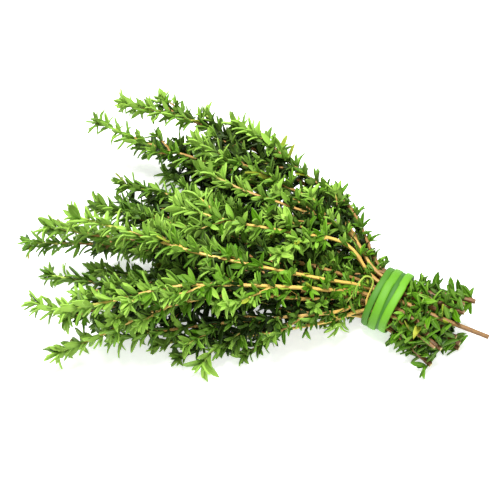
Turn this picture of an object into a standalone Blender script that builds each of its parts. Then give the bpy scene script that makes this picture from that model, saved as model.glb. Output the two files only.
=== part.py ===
"""Bunch of fresh thyme lying on a surface, its sprigs held together by a green elastic band.

The sprigs fan out from the band towards -X and their cut ends stick out of it towards +X. Each sprig is one
square-stemmed solid with opposite leaves raised out of its sides, and the band is one closed loop wound round the
stems. Lengths are in metres, Z is up, and the origin is under the middle of the whole bunch's box.
"""

import math
import random

import bmesh
import bpy
import numpy as np
from mathutils import Vector
from mathutils.bvhtree import BVHTree

MM = 0.001
SEED = 41

# The band: where its middle stands, which way its axis turns, and the oval that its inner face follows.
BAND_AT = (60.96 * MM, -8.07 * MM)
BAND_TURN = math.radians(-20.0)
BAND_INSIDE = (13.2 * MM, 10.9 * MM)
BAND_THICK = 1.0 * MM
BAND_STRIP = 2.6 * MM
BAND_PITCH = 3.2 * MM
BAND_WINDS = 4
BAND_STEPS = 22
BAND_START = math.radians(90.0)
BAND_CROSSING = (math.radians(298.0), math.radians(385.0))
BAND_LIFT = BAND_THICK + 0.4 * MM
FLAT_BELOW = 0.5 * MM
BAND_HEIGHT = BAND_INSIDE[1] + BAND_THICK - FLAT_BELOW

# The stems: how thick they are from cut end to tip, how they pack in the band and how far apart they stay.
STEM_SIDE = (1.5 * MM, 0.8 * MM)
STEM_APART = 3.4 * MM
STEM_FLOOR = 2.4 * MM
RING_STEP = 11.0 * MM
PATH_POINTS = 52
SETTLE_ROUNDS = 90
SETTLE_PUSH = 0.45
COLUMNS = (3, 5, 6, 6, 6, 5, 3)
COLUMN_STEP = 3.5 * MM
SLOT_HEIGHT = 8.4 * MM
HELD_HALF = 7.0 * MM
BARE_IN_BAND = 9.0 * MM
BAND_ROOM = 1.6 * MM

# The leaves: spacing of the pairs, blade size, and how a blade gives way where it has no room.
FIRST_PAIR = (2.0 * MM, 7.0 * MM)
LAST_PAIR = 1.2 * MM
TIP_CROWDING = 1.25
PAIR_STEP = 10.0 * MM
TAIL_PAIR_STEP = 8.5 * MM
PAIR_RING = 1.1 * MM
LEAF_LENGTH = (6.2 * MM, 8.0 * MM)
LEAF_WIDTH = 2.4 * MM
LEAF_THICK = 0.72 * MM
LEAF_ANGLE = math.radians(52.0)
LEAF_WIDEST = 0.48
LEAF_CURL = 0.05
TIP_LEAF_SHARE = 0.85
TIP_LEAF_TURN = 0.7
GIVING_WAY = ((1.0, 1.0), (1.0, 0.75), (0.8, 1.15), (0.8, 0.6), (0.6, 1.0), (0.55, 0.5))
GAP = 0.3 * MM

# Routes of the leading sprigs, in millimetres from the floor under the band, outwards from the band to the tip.
LEADING = (
    ((-24, 35, 24), (-46, 45, 28), (-72, 56, 34), (-100, 64, 37), (-139, 74, 32)),
    ((-25, 36, 29), (-47, 46, 34), (-62, 54, 39), (-84, 66, 39)),
    ((-22, 29, 16), (-72, 48, 23), (-128, 62, 22), (-152, 72, 20)),
    ((-24, 22, 12), (-65, 40, 15), (-98, 55, 16), (-130, 66, 15)),
    ((-22, 16, 15), (-60, 28, 18), (-95, 36, 15), (-133, 42, 12)),
    ((-24, 9, 8), (-70, 21, 10), (-118, 32, 8), (-131, 36, 7)),
    ((-22, 22, 27), (-47, 22, 37), (-69, 23, 42), (-91, 31, 43)),
    ((-19, 12, 28), (-47, 6, 39), (-72, 2, 45), (-95, 5, 46)),
    ((-27, -8, 29), (-53, -15, 39), (-79, -18, 45), (-107, -14, 46), (-136, -8, 44)),
    ((-27, 1, 24), (-75, -2, 31), (-125, -7, 32), (-153, -4, 29)),
    ((-27, 4, 16), (-85, 4, 20), (-139, -2, 18), (-163, -3, 13)),
    ((-27, -3, 14), (-80, -13, 20), (-130, -22, 18), (-148, -20, 16)),
    ((-28, -8, 18), (-85, -26, 25), (-135, -42, 22), (-148, -38, 19)),
    ((-27, -13, 28), (-55, -24, 37), (-85, -35, 42), (-108, -45, 39), (-129, -50, 33)),
    ((-30, -16, 24), (-60, -25, 31), (-87, -36, 30), (-115, -49, 18), (-134, -56, 9)),
    ((-20, -16, 19), (-54, -28, 19), (-86, -36, 14), (-113, -43, 8)),
    ((-15, -16, 12), (-39, -25, 12), (-60, -33, 10), (-69, -40, 8), (-72, -47, 5)),
    ((-22, 26, 25), (-47, 35, 33), (-71, 42, 37), (-99, 52, 37)),
    ((-8, -1, 29), (-12, -2, 29), (-15, -7, 25), (-17, -13, 16), (-18, -18, 8)),
)

# The sprigs under and between them: how they spread, set by a rule.
FILLERS = 15
FILL_SWING = (math.radians(-24.0), math.radians(33.0))
FILL_SWAY = math.radians(2.3)
FILL_REACH = (92.0 * MM, 142.0 * MM)
FILL_HEIGHT = (5.0 * MM, 30.0 * MM)
FILL_BOW = 4.0 * MM
FILL_NEAR = 26.0 * MM
FILL_DROP = (0.6, 0.9)

# The cut ends behind the band.
TAIL_REACH = (17.0 * MM, 36.0 * MM)
TAIL_SPREAD = 0.55
TAIL_DROOP = (-2.5 * MM, 0.5 * MM)
LONG_TAIL_END = (44.5 * MM, -14.0 * MM, 16.0 * MM)
LONG_TAIL_HELD = 40.0 * MM
LONG_TAIL_BARE = 17.0 * MM
LONG_TAIL_SPRIG = 8

LEAF_COLOUR = (0.13, 0.30, 0.04, 1.0)
BAND_COLOUR = (0.20, 0.58, 0.03, 1.0)


def material(name, colour, roughness):
    """A plain Principled material."""
    made = bpy.data.materials.new(name)
    made.use_nodes = True
    shader = made.node_tree.nodes["Principled BSDF"]
    shader.inputs["Base Color"].default_value = colour
    shader.inputs["Roughness"].default_value = roughness
    shader.inputs["Metallic"].default_value = 0.0
    return made


def band_axes():
    """The band's axis towards the cut ends, the level direction across it, and up."""
    along = np.array([math.cos(BAND_TURN), math.sin(BAND_TURN), 0.0])
    across = np.array([-along[1], along[0], 0.0])
    return along, across, np.array([0.0, 0.0, 1.0])


def band_middle():
    """Centre of the band, which stands on its own underside."""
    return np.array([*BAND_AT, BAND_HEIGHT])


def smooth_path(points, count):
    """Evenly spaced places along a smooth curve through the points."""
    points = np.array(points, dtype=float)
    knots = np.concatenate(([0.0], np.cumsum(np.linalg.norm(np.diff(points, axis=0), axis=1))))
    slopes = np.gradient(points, knots, axis=0)
    at = np.linspace(0.0, knots[-1], 10 * count)
    span = np.clip(np.searchsorted(knots, at, side="right") - 1, 0, len(knots) - 2)
    length = (knots[span + 1] - knots[span])[:, None]
    t = (at - knots[span])[:, None] / length
    fine = (
        (2 * t**3 - 3 * t**2 + 1) * points[span]
        + (t**3 - 2 * t**2 + t) * length * slopes[span]
        + (3 * t**2 - 2 * t**3) * points[span + 1]
        + (t**3 - t**2) * length * slopes[span + 1]
    )
    run = np.concatenate(([0.0], np.cumsum(np.linalg.norm(np.diff(fine, axis=0), axis=1))))
    even = np.linspace(0.0, run[-1], count)
    return np.stack([np.interp(even, run, fine[:, axis]) for axis in range(3)], axis=1)


def filler_routes(rng):
    """Routes of the sprigs that the rule places, spread evenly over the fan and up its height."""
    up = band_axes()[2]
    routes = []
    for index in range(FILLERS):
        share = (index + 0.5) / FILLERS
        swing = FILL_SWING[0] + share * (FILL_SWING[1] - FILL_SWING[0]) + rng.uniform(-FILL_SWAY, FILL_SWAY)
        level = (index * 7 % FILLERS + 0.5) / FILLERS
        height = FILL_HEIGHT[0] + level * (FILL_HEIGHT[1] - FILL_HEIGHT[0])
        reach = rng.uniform(*FILL_REACH)
        bow = rng.uniform(-FILL_BOW, FILL_BOW)
        towards = np.array([-math.cos(swing), math.sin(swing), 0.0])
        beside = np.array([towards[1], -towards[0], 0.0])
        near = towards * FILL_NEAR + up * (BAND_HEIGHT + height) / 2
        middle = towards * reach / 2 + beside * bow + up * (height + FILL_BOW / 2)
        tip = towards * reach + up * height * rng.uniform(*FILL_DROP)
        routes.append([near, middle, tip])
    return routes


def slots(routes):
    """A place in the band for each route: columns follow its turn about the band, rows its height."""
    middles = [route[len(route) // 2] for route in routes]
    by_turn = sorted(range(len(routes)), key=lambda i: math.atan2(middles[i][1], -middles[i][0]))
    places = {}
    start = 0
    for column, size in enumerate(COLUMNS):
        aside = (column - (len(COLUMNS) - 1) / 2) * COLUMN_STEP
        rise = SLOT_HEIGHT * math.sqrt(1.0 - (aside / BAND_INSIDE[0]) ** 2)
        rows = sorted(by_turn[start : start + size], key=lambda i: routes[i][0][2])
        for row, index in enumerate(rows):
            places[index] = (aside, rise * (2.0 * row / (size - 1) - 1.0))
        start += size
    return places


def sprig_routes():
    """The smooth route of every sprig, from its cut end through the band to its tip."""
    rng = random.Random(SEED)
    ground = np.array([*BAND_AT, 0.0])
    routes = [[np.array(point, dtype=float) * MM for point in route] for route in LEADING[:-1]]
    shoot = [np.array(point, dtype=float) * MM for point in LEADING[-1]]
    routes += filler_routes(rng)
    routes.append(shoot)
    places = slots(routes)
    along, across, up = band_axes()
    paths = []
    for index, route in enumerate(routes):
        aside, rise = places[index]
        slot = band_middle() + across * aside + up * rise
        tail = rng.uniform(*TAIL_REACH)
        droop = rng.uniform(*TAIL_DROOP)
        spread = across * aside * TAIL_SPREAD * tail / TAIL_REACH[1]
        cut_end = slot + along * tail + spread + up * droop
        if index == LONG_TAIL_SPRIG:
            cut_end = ground + LONG_TAIL_END
        held = [slot + along * HELD_HALF, slot - along * HELD_HALF]
        paths.append(smooth_path([cut_end] + held + [ground + point for point in route], PATH_POINTS))
    return np.array(paths)


def keep_in_band(points):
    """Brings the stretch of stem within the band back inside its oval."""
    along, across, up = band_axes()
    offset = points - band_middle()
    inside = np.abs(offset @ along) < BARE_IN_BAND
    aside = offset @ across / (BAND_INSIDE[0] - BAND_ROOM)
    rise = offset @ up / (BAND_INSIDE[1] - BAND_ROOM)
    reach = np.sqrt(aside**2 + rise**2)
    shrink = np.where(inside & (reach > 1.0), 1.0 / np.maximum(reach, 1.0) - 1.0, 0.0)
    level = (offset @ across)[:, None] * across + (offset @ up)[:, None] * up
    return points + level * shrink[:, None]


def settle(paths):
    """Shifts the routes apart until every stem lies clear of the others, of the band and of the floor."""
    homes = paths.copy()
    owner = np.repeat(np.arange(len(paths)), PATH_POINTS)
    for _ in range(SETTLE_ROUNDS):
        flat = paths.reshape(-1, 3)
        away = flat[:, None, :] - flat[None, :, :]
        distance = np.sqrt((away**2).sum(axis=2)) + 1e-9
        close = (distance < STEM_APART) & (owner[:, None] != owner[None, :])
        push = np.where(close, SETTLE_PUSH * (STEM_APART - distance) / distance, 0.0)
        flat = flat + (away * push[:, :, None]).sum(axis=1)
        flat[:, 2] = np.maximum(flat[:, 2], STEM_FLOOR)
        flat = keep_in_band(flat)
        shift = flat.reshape(paths.shape) - homes
        inner = 0.25 * shift[:, :-2] + 0.5 * shift[:, 1:-1] + 0.25 * shift[:, 2:]
        shift[:, 1:-1] = inner
        paths = homes + shift
    return paths


def carried_frames(path):
    """For each place on the path, its direction and two directions square to it that don't twist."""
    tangents = np.gradient(path, axis=0)
    tangents /= np.linalg.norm(tangents, axis=1)[:, None]
    side = np.cross(tangents[0], [0.0, 0.0, 1.0])
    frames = []
    for tangent in tangents:
        side = side - tangent * (side @ tangent)
        side /= np.linalg.norm(side)
        frames.append((tangent, side, np.cross(tangent, side)))
    return frames


class Sprig:
    """One sprig as it is built: its route, its mesh and the faces its leaves rise from."""

    def __init__(self, name, path, rng):
        self.name = name
        self.path = path
        self.frames = carried_frames(path)
        self.run = np.concatenate(([0.0], np.cumsum(np.linalg.norm(np.diff(path, axis=0), axis=1))))
        self.twist = rng.uniform(0.0, math.pi / 2)
        self.bm = bmesh.new()
        self.pairs = []
        self.shape_index = None
        self.build_stem(rng)

    def place(self, at):
        """Position and frame at a length along the stem."""
        where = np.array([np.interp(at, self.run, self.path[:, axis]) for axis in range(3)])
        index = min(int(np.searchsorted(self.run, at)), len(self.path) - 1)
        tangent, side, top = self.frames[index]
        turned = side * math.cos(self.twist) + top * math.sin(self.twist)
        return where, tangent, turned, np.cross(tangent, turned)

    def held_at(self):
        """Length along the stem at which it passes the middle of the band."""
        along = band_axes()[0]
        return float(np.interp(0.0, -((self.path - band_middle()) @ along), self.run))

    def pair_lengths(self, rng):
        """Lengths along the stem at which leaf pairs grow, closer together towards the tip."""
        held = self.held_at()
        first = held + BARE_IN_BAND + rng.uniform(*FIRST_PAIR)
        last = self.run[-1] - LAST_PAIR
        count = max(4, round((last - first) / PAIR_STEP))
        shares = [1.0 - (1.0 - i / (count - 1)) ** TIP_CROWDING for i in range(count)]
        grown = [first + (last - first) * share for share in shares]
        bare = LONG_TAIL_BARE if held > LONG_TAIL_HELD else 0.0
        leafy = held - BARE_IN_BAND - bare
        cut_pairs = int(leafy / TAIL_PAIR_STEP)
        return [bare + leafy * (i + 0.6) / cut_pairs for i in range(cut_pairs)] + grown

    def build_stem(self, rng):
        """Builds the square stem, with a short ring at each leaf pair."""
        lengths = [0.0, self.held_at() - HELD_HALF, self.held_at() + HELD_HALF]
        pairs = self.pair_lengths(rng)
        for at in pairs:
            lengths += [at - PAIR_RING / 2, at + PAIR_RING / 2]
        spans = sorted(lengths)
        for low, high in zip(spans, spans[1:]):
            steps = int((high - low) / RING_STEP)
            lengths += [low + (high - low) * (i + 1) / (steps + 1) for i in range(steps)]
        lengths = sorted(lengths)
        rings = []
        for at in lengths:
            where, _, side, top = self.place(at)
            half = 0.5 * float(np.interp(at, (0.0, self.run[-1]), STEM_SIDE))
            corners = ((-1, -1), (1, -1), (1, 1), (-1, 1))
            rings.append([self.bm.verts.new(where + half * (a * side + b * top)) for a, b in corners])
        sides = []
        for low, high in zip(rings, rings[1:]):
            quads = [(low[i], low[(i + 1) % 4], high[(i + 1) % 4], high[i]) for i in range(4)]
            sides.append([self.bm.faces.new(quad) for quad in quads])
        self.bm.faces.new(reversed(rings[0]))
        self.bm.faces.new(rings[-1])
        for index, at in enumerate(pairs):
            ring = lengths.index(at - PAIR_RING / 2)
            turn = index % 2
            self.pairs.append((at, [sides[ring][turn], sides[ring][turn + 2]]))
        self.bm.normal_update()


def leaf_shape(sprig, at, face, length, angle):
    """Root, half-way and tip places of a leaf, with its directions across and through the blade."""
    _, tangent, _, _ = sprig.place(at)
    tangent = Vector(tangent)
    root = face.calc_center_median()
    outward = face.normal - tangent * face.normal.dot(tangent)
    outward.normalize()
    rising = tangent * math.cos(angle) + outward * math.sin(angle)
    across = outward.cross(tangent).normalized()
    through = across.cross(rising).normalized()
    if through.dot(tangent) < 0.0:
        through.negate()
    middle = root + rising * (LEAF_WIDEST * length)
    tip = root + rising * length + outward * (LEAF_CURL * length)
    return root, middle, tip, across, through, rising


def leaf_room(shape, width, grow):
    """Closed outline of the leaf, grown on every side, for testing what it would touch."""
    root, middle, tip, across, through, rising = shape
    rings = []
    for centre, wide, thick in ((root, 0.5 * width, PAIR_RING), (middle, width, LEAF_THICK)):
        half = across * (wide / 2 + grow)
        deep = through * (thick / 2 + grow)
        rings.append([centre - half - deep, centre + half - deep, centre + half + deep, centre - half + deep])
    points = rings[0] + rings[1] + [tip + rising * grow]
    faces = [(3, 2, 1, 0)]
    faces += [(i, (i + 1) % 4, 4 + (i + 1) % 4, 4 + i) for i in range(4)]
    faces += [(4 + i, 4 + (i + 1) % 4, 8) for i in range(4)]
    return points, faces


class Clearance:
    """Everything built so far, for keeping each new leaf clear of it."""

    def __init__(self):
        self.trees = []
        self.centres = []
        self.radii = []

    def add(self, points, faces):
        """Adds one closed shape and returns its place in the list."""
        centre = sum(points, Vector()) / len(points)
        self.trees.append(BVHTree.FromPolygons(points, faces))
        self.centres.append(np.array(centre))
        self.radii.append(max((point - centre).length for point in points))
        return len(self.trees) - 1

    def clear(self, points, faces, own):
        """Whether a shape touches nothing but its own stem and stays above the floor."""
        if min(point.z for point in points) < 0.0:
            return False
        centre = np.array(sum(points, Vector()) / len(points))
        radius = max((point - Vector(centre)).length for point in points)
        distance = np.linalg.norm(np.array(self.centres) - centre, axis=1)
        near = np.nonzero(distance < radius + np.array(self.radii))[0]
        tree = BVHTree.FromPolygons(points, faces)
        return not any(tree.overlap(self.trees[i]) for i in near if i != own)


def raise_leaf(sprig, face, shape, width):
    """Extrudes a stem face into a flat blade that widens half way and ends in a point."""
    root, middle, tip, across, through, _ = shape
    blade = bmesh.ops.extrude_discrete_faces(sprig.bm, faces=[face])["faces"][0]
    for vert in blade.verts:
        offset = vert.co - root
        side = math.copysign(width / 2, offset.dot(across))
        deep = math.copysign(LEAF_THICK / 2, offset.dot(through))
        vert.co = middle + across * side + through * deep
    end = bmesh.ops.extrude_discrete_faces(sprig.bm, faces=[blade])["faces"][0]
    bmesh.ops.pointmerge(sprig.bm, verts=list(end.verts), merge_co=tip)


def grow_leaves(sprigs, clearance, rng):
    """Raises the leaves, one pair of each sprig at a time from the tips inwards."""
    for order in range(max(len(sprig.pairs) for sprig in sprigs)):
        for sprig in sprigs:
            if order >= len(sprig.pairs):
                continue
            at, faces = sprig.pairs[-1 - order]
            for face in faces:
                length = rng.uniform(*LEAF_LENGTH) * (TIP_LEAF_SHARE if order == 0 else 1.0)
                angle = LEAF_ANGLE * (TIP_LEAF_TURN if order == 0 else rng.uniform(0.8, 1.2))
                for share, turn in GIVING_WAY:
                    shape = leaf_shape(sprig, at, face, length * share, angle * turn)
                    width = LEAF_WIDTH * (3.0 + share) / 4.0
                    if clearance.clear(*leaf_room(shape, width, GAP), sprig.shape_index):
                        clearance.add(*leaf_room(shape, width, 0.0))
                        raise_leaf(sprig, face, shape, width)
                        break


def band_points():
    """Turn, shift along the axis and lift of each step of the loop, closed by a crossing at the back."""
    count = BAND_WINDS * BAND_STEPS
    loop = []
    for step in range(count):
        wind, part = divmod(step, BAND_STEPS)
        angle = BAND_START + 2 * math.pi * part / BAND_STEPS
        low, high = BAND_CROSSING
        share = min(max((angle - low) / (high - low), 0.0), 1.0)
        last = wind == BAND_WINDS - 1
        travel = min(max((share - 0.25) / 0.5, 0.0), 1.0)
        eased = travel * travel * (3.0 - 2.0 * travel)
        start = (wind - (BAND_WINDS - 1) / 2) * BAND_PITCH
        end = (-(BAND_WINDS - 1) / 2 if last else wind + 1 - (BAND_WINDS - 1) / 2) * BAND_PITCH
        lift = BAND_LIFT * min(1.0, 4.0 * min(share, 1.0 - share)) if last else 0.0
        along_at = start + (end - start) * eased
        loop.append((angle, along_at, lift))
    return loop


def build_band():
    """The elastic band as one closed flat strip, resting on the flat underside of its winds."""
    along, across, up = band_axes()
    middle = band_middle()
    bm = bmesh.new()
    rings = []
    for angle, shift, lift in band_points():
        ring = []
        for edge, out in ((-1, 0.0), (1, 0.0), (1, BAND_THICK), (-1, BAND_THICK)):
            aside = (BAND_INSIDE[0] + out + lift) * math.cos(angle)
            rise = (BAND_INSIDE[1] + out + lift) * math.sin(angle)
            rise = max(rise, -(BAND_INSIDE[1] - FLAT_BELOW + out))
            place = middle + along * (shift + edge * BAND_STRIP / 2) + across * aside + up * rise
            ring.append(bm.verts.new(place))
        rings.append(ring)
    for low, high in zip(rings, rings[1:] + rings[:1]):
        for i in range(4):
            bm.faces.new((low[i], low[(i + 1) % 4], high[(i + 1) % 4], high[i]))
    bmesh.ops.recalc_face_normals(bm, faces=bm.faces)
    return bm


def add_object(name, bm, materials):
    """Turns a finished mesh into a named object."""
    mesh = bpy.data.meshes.new(name)
    bm.to_mesh(mesh)
    for each in materials:
        mesh.materials.append(each)
    made = bpy.data.objects.new(name, mesh)
    bpy.context.scene.collection.objects.link(made)
    return made


def main():
    """Builds the whole bunch."""
    for existing in list(bpy.data.objects):
        bpy.data.objects.remove(existing)
    rng = random.Random(SEED)
    leaf = material("thyme leaf", LEAF_COLOUR, 0.5)
    rubber = material("green elastic", BAND_COLOUR, 0.4)

    clearance = Clearance()
    band = build_band()
    band.verts.index_update()
    clearance.add([v.co.copy() for v in band.verts], [[v.index for v in f.verts] for f in band.faces])
    sprigs = []
    for index, path in enumerate(settle(sprig_routes())):
        sprigs.append(Sprig(f"sprig_{index + 1:02d}", path, rng))
    for sprig in sprigs:
        sprig.bm.verts.index_update()
        points = [vert.co.copy() for vert in sprig.bm.verts]
        faces = [[vert.index for vert in face.verts] for face in sprig.bm.faces]
        sprig.shape_index = clearance.add(points, faces)
    grow_leaves(sprigs, clearance, rng)
    for sprig in sprigs:
        add_object(sprig.name, sprig.bm, [leaf])
    add_object("tie_band", band, [rubber])


main()
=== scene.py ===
"""Looks of a bunch of fresh thyme that lies on a pale floor, tied with a green elastic band.

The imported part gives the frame. Every sprig of it is replaced by a finer one on the same route: a ribbed
woody stem with opposite leaves and small tufts at its joints, side branches, and a leafy tip. The band is
replaced by a rounded elastic strip on the same winding. Lengths are in metres and Z is up.
"""

import logging
import math
import random
from dataclasses import astuple, dataclass, field, replace
from enum import Enum, IntEnum
from typing import Callable, Sequence

import bmesh
import bpy
import numpy as np
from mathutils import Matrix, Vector
from mathutils.kdtree import KDTree

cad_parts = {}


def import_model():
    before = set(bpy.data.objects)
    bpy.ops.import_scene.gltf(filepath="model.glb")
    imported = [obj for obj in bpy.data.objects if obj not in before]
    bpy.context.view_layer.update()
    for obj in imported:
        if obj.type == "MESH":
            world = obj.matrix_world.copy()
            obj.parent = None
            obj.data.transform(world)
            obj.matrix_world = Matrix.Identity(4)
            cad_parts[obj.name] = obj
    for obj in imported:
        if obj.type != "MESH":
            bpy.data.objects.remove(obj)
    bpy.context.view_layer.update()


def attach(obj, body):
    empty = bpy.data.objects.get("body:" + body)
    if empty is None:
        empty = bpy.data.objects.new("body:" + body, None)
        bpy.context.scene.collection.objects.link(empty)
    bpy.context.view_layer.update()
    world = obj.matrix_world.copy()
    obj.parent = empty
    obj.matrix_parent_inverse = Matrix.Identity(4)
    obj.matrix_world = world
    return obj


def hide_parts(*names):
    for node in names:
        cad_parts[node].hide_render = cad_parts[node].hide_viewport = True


MM = 0.001
TURN = 2.0 * math.pi
TINY = 1e-9
SHARP = math.radians(55.0)
WALL_CORNERS = 4  # Corners of a face of a stem's wall; its two ends have more
LOG = logging.getLogger("thyme")
Array = np.ndarray
Object = bpy.types.Object
Material = bpy.types.Material
Pair = tuple[float, float]
Three = tuple[float, float, float]
Colour = tuple[float, float, float, float]


def deselect_all() -> None:
    """Leaves object mode with nothing selected."""
    if bpy.context.object and bpy.context.object.mode != "OBJECT":
        bpy.ops.object.mode_set(mode="OBJECT")
    bpy.ops.object.select_all(action="DESELECT")


def select_where(piece: Object, test: Callable[[Vector], bool]) -> None:
    """Selects, in edit mode, the vertices of a piece whose places pass a test.

    Args:
        piece: The mesh object being edited.
        test: Says of a vertex's place whether it is wanted.
    """
    mesh = bmesh.from_edit_mesh(piece.data)
    for vert in mesh.verts:
        vert.select_set(bool(test(vert.co)))
    mesh.select_flush(True)
    bmesh.update_edit_mesh(piece.data)


def put_in_scene(name: str, data: bpy.types.ID) -> Object:
    """Adds an object to the scene.

    Args:
        name: Name of the object.
        data: Its mesh, lamp or camera.

    Returns:
        The object.
    """
    made = bpy.data.objects.new(name, data)
    bpy.context.scene.collection.objects.link(made)
    return made


def finish_mesh(
    mesh: bpy.types.Mesh, uv: Array, marks: dict[str, Array], finishes: Sequence[Material]
) -> None:
    """Gives a mesh its bake sheet, its colouring marks, its materials and smooth faces.

    Args:
        mesh: The mesh.
        uv: Spot of each face corner on the bake sheet.
        marks: Values of each vertex, by the attribute's name.
        finishes: Materials, in the order of their slots.
    """
    mesh.uv_layers.new(name="OFBake").data.foreach_set("uv", np.asarray(uv, dtype=np.float32).ravel())
    for name, values in marks.items():
        layer = mesh.color_attributes.new(name=name, type="FLOAT_COLOR", domain="POINT")
        layer.data.foreach_set("color", np.asarray(values, dtype=np.float32).ravel())
    for finish in finishes:
        mesh.materials.append(finish)
    mesh.polygons.foreach_set("use_smooth", np.ones(len(mesh.polygons), dtype=bool))


def clamp(value: float, low: float = 0.0, high: float = 1.0) -> float:
    """A value held between two others."""
    return min(high, max(low, value))


def unit(direction: Array) -> Array:
    """A direction at length 1."""
    return direction / np.linalg.norm(direction)


def run_along(route: Array) -> Array:
    """Length of a route up to each of its places."""
    return np.concatenate(([0.0], np.cumsum(np.linalg.norm(np.diff(route, axis=0), axis=1))))


def places_at(lengths: Array, run: Array, route: Array) -> Array:
    """Places at given lengths along a route whose run is known."""
    return np.stack([np.interp(lengths, run, route[:, axis]) for axis in range(3)], axis=-1)


def evened(routes: Array) -> Array:
    """The inner places of routes, each brought halfway to the middle between its neighbours."""
    return 0.25 * routes[..., :-2, :] + 0.5 * routes[..., 1:-1, :] + 0.25 * routes[..., 2:, :]


def smooth_route(points: Sequence[Array], count: int, finer: int = 10) -> Array:
    """Evenly spaced places along a smooth curve.

    Args:
        points: Places that the curve passes through, in order.
        count: How many places to return.
        finer: How many places are worked out for each one that is returned.

    Returns:
        The places, one to a row.
    """
    given = np.array(points, dtype=float)
    knots = run_along(given)
    slopes = np.gradient(given, knots, axis=0)
    at = np.linspace(0.0, knots[-1], finer * count)
    span = np.clip(np.searchsorted(knots, at, side="right") - 1, 0, len(knots) - 2)
    length = (knots[span + 1] - knots[span])[:, None]
    t = (at - knots[span])[:, None] / length
    fine = (
        (2 * t**3 - 3 * t**2 + 1) * given[span]
        + (t**3 - 2 * t**2 + t) * length * slopes[span]
        + (3 * t**2 - 2 * t**3) * given[span + 1]
        + (t**3 - t**2) * length * slopes[span + 1]
    )
    run = run_along(fine)
    return places_at(np.linspace(0.0, run[-1], count), run, fine)


# ----------------------------------------------------------------------------------------------------------
# Where everything lies: the same rules and sizes as the solids


@dataclass(frozen=True)
class BandSizes:
    """Place and sizes of the elastic band's winding; turns round it are counted from its level side."""

    at: Pair = (60.96 * MM, -8.07 * MM)
    turn: float = math.radians(-20.0)
    inside: Pair = (13.2 * MM, 10.9 * MM)
    thick: float = 1.0 * MM
    winds: int = 4
    start: float = math.radians(90.0)
    crossing: Pair = (math.radians(298.0), math.radians(385.0))
    lift: float = 1.4 * MM
    flat_below: float = 0.5 * MM

    @property
    def height(self) -> float:
        """Height of the winding's middle over the floor."""
        return self.inside[1] + self.thick - self.flat_below

    @property
    def axes(self) -> tuple[Array, Array, Array]:
        """The axis towards the cut ends, the level direction across it, and up."""
        along = np.array([math.cos(self.turn), math.sin(self.turn), 0.0])
        return along, np.array([-along[1], along[0], 0.0]), np.array([0.0, 0.0, 1.0])

    @property
    def middle(self) -> Array:
        """Centre of the winding."""
        return np.array([*self.at, self.height])


# Routes of the leading sprigs, in millimetres from the floor under the band, outwards from the band to the
# tip. The last is the thin bent shoot.
LEADING = (
    ((-24, 35, 24), (-46, 45, 28), (-72, 56, 34), (-100, 64, 37), (-139, 74, 32)),
    ((-25, 36, 29), (-47, 46, 34), (-62, 54, 39), (-84, 66, 39)),
    ((-22, 29, 16), (-72, 48, 23), (-128, 62, 22), (-152, 72, 20)),
    ((-24, 22, 12), (-65, 40, 15), (-98, 55, 16), (-130, 66, 15)),
    ((-22, 16, 15), (-60, 28, 18), (-95, 36, 15), (-133, 42, 12)),
    ((-24, 9, 8), (-70, 21, 10), (-118, 32, 8), (-131, 36, 7)),
    ((-22, 22, 27), (-47, 22, 37), (-69, 23, 42), (-91, 31, 43)),
    ((-19, 12, 28), (-47, 6, 39), (-72, 2, 45), (-95, 5, 46)),
    ((-27, -8, 29), (-53, -15, 39), (-79, -18, 45), (-107, -14, 46), (-136, -8, 44)),
    ((-27, 1, 24), (-75, -2, 31), (-125, -7, 32), (-153, -4, 29)),
    ((-27, 4, 16), (-85, 4, 20), (-139, -2, 18), (-163, -3, 13)),
    ((-27, -3, 14), (-80, -13, 20), (-130, -22, 18), (-148, -20, 16)),
    ((-28, -8, 18), (-85, -26, 25), (-135, -42, 22), (-148, -38, 19)),
    ((-27, -13, 28), (-55, -24, 37), (-85, -35, 42), (-108, -45, 39), (-129, -50, 33)),
    ((-30, -16, 24), (-60, -25, 31), (-87, -36, 30), (-115, -49, 18), (-134, -56, 9)),
    ((-20, -16, 19), (-54, -28, 19), (-86, -36, 14), (-113, -43, 8)),
    ((-15, -16, 12), (-39, -25, 12), (-60, -33, 10), (-69, -40, 8), (-72, -47, 5)),
    ((-22, 26, 25), (-47, 35, 33), (-71, 42, 37), (-99, 52, 37)),
    ((-8, -1, 29), (-12, -2, 29), (-15, -7, 25), (-17, -13, 16), (-18, -18, 8)),
)


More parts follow.
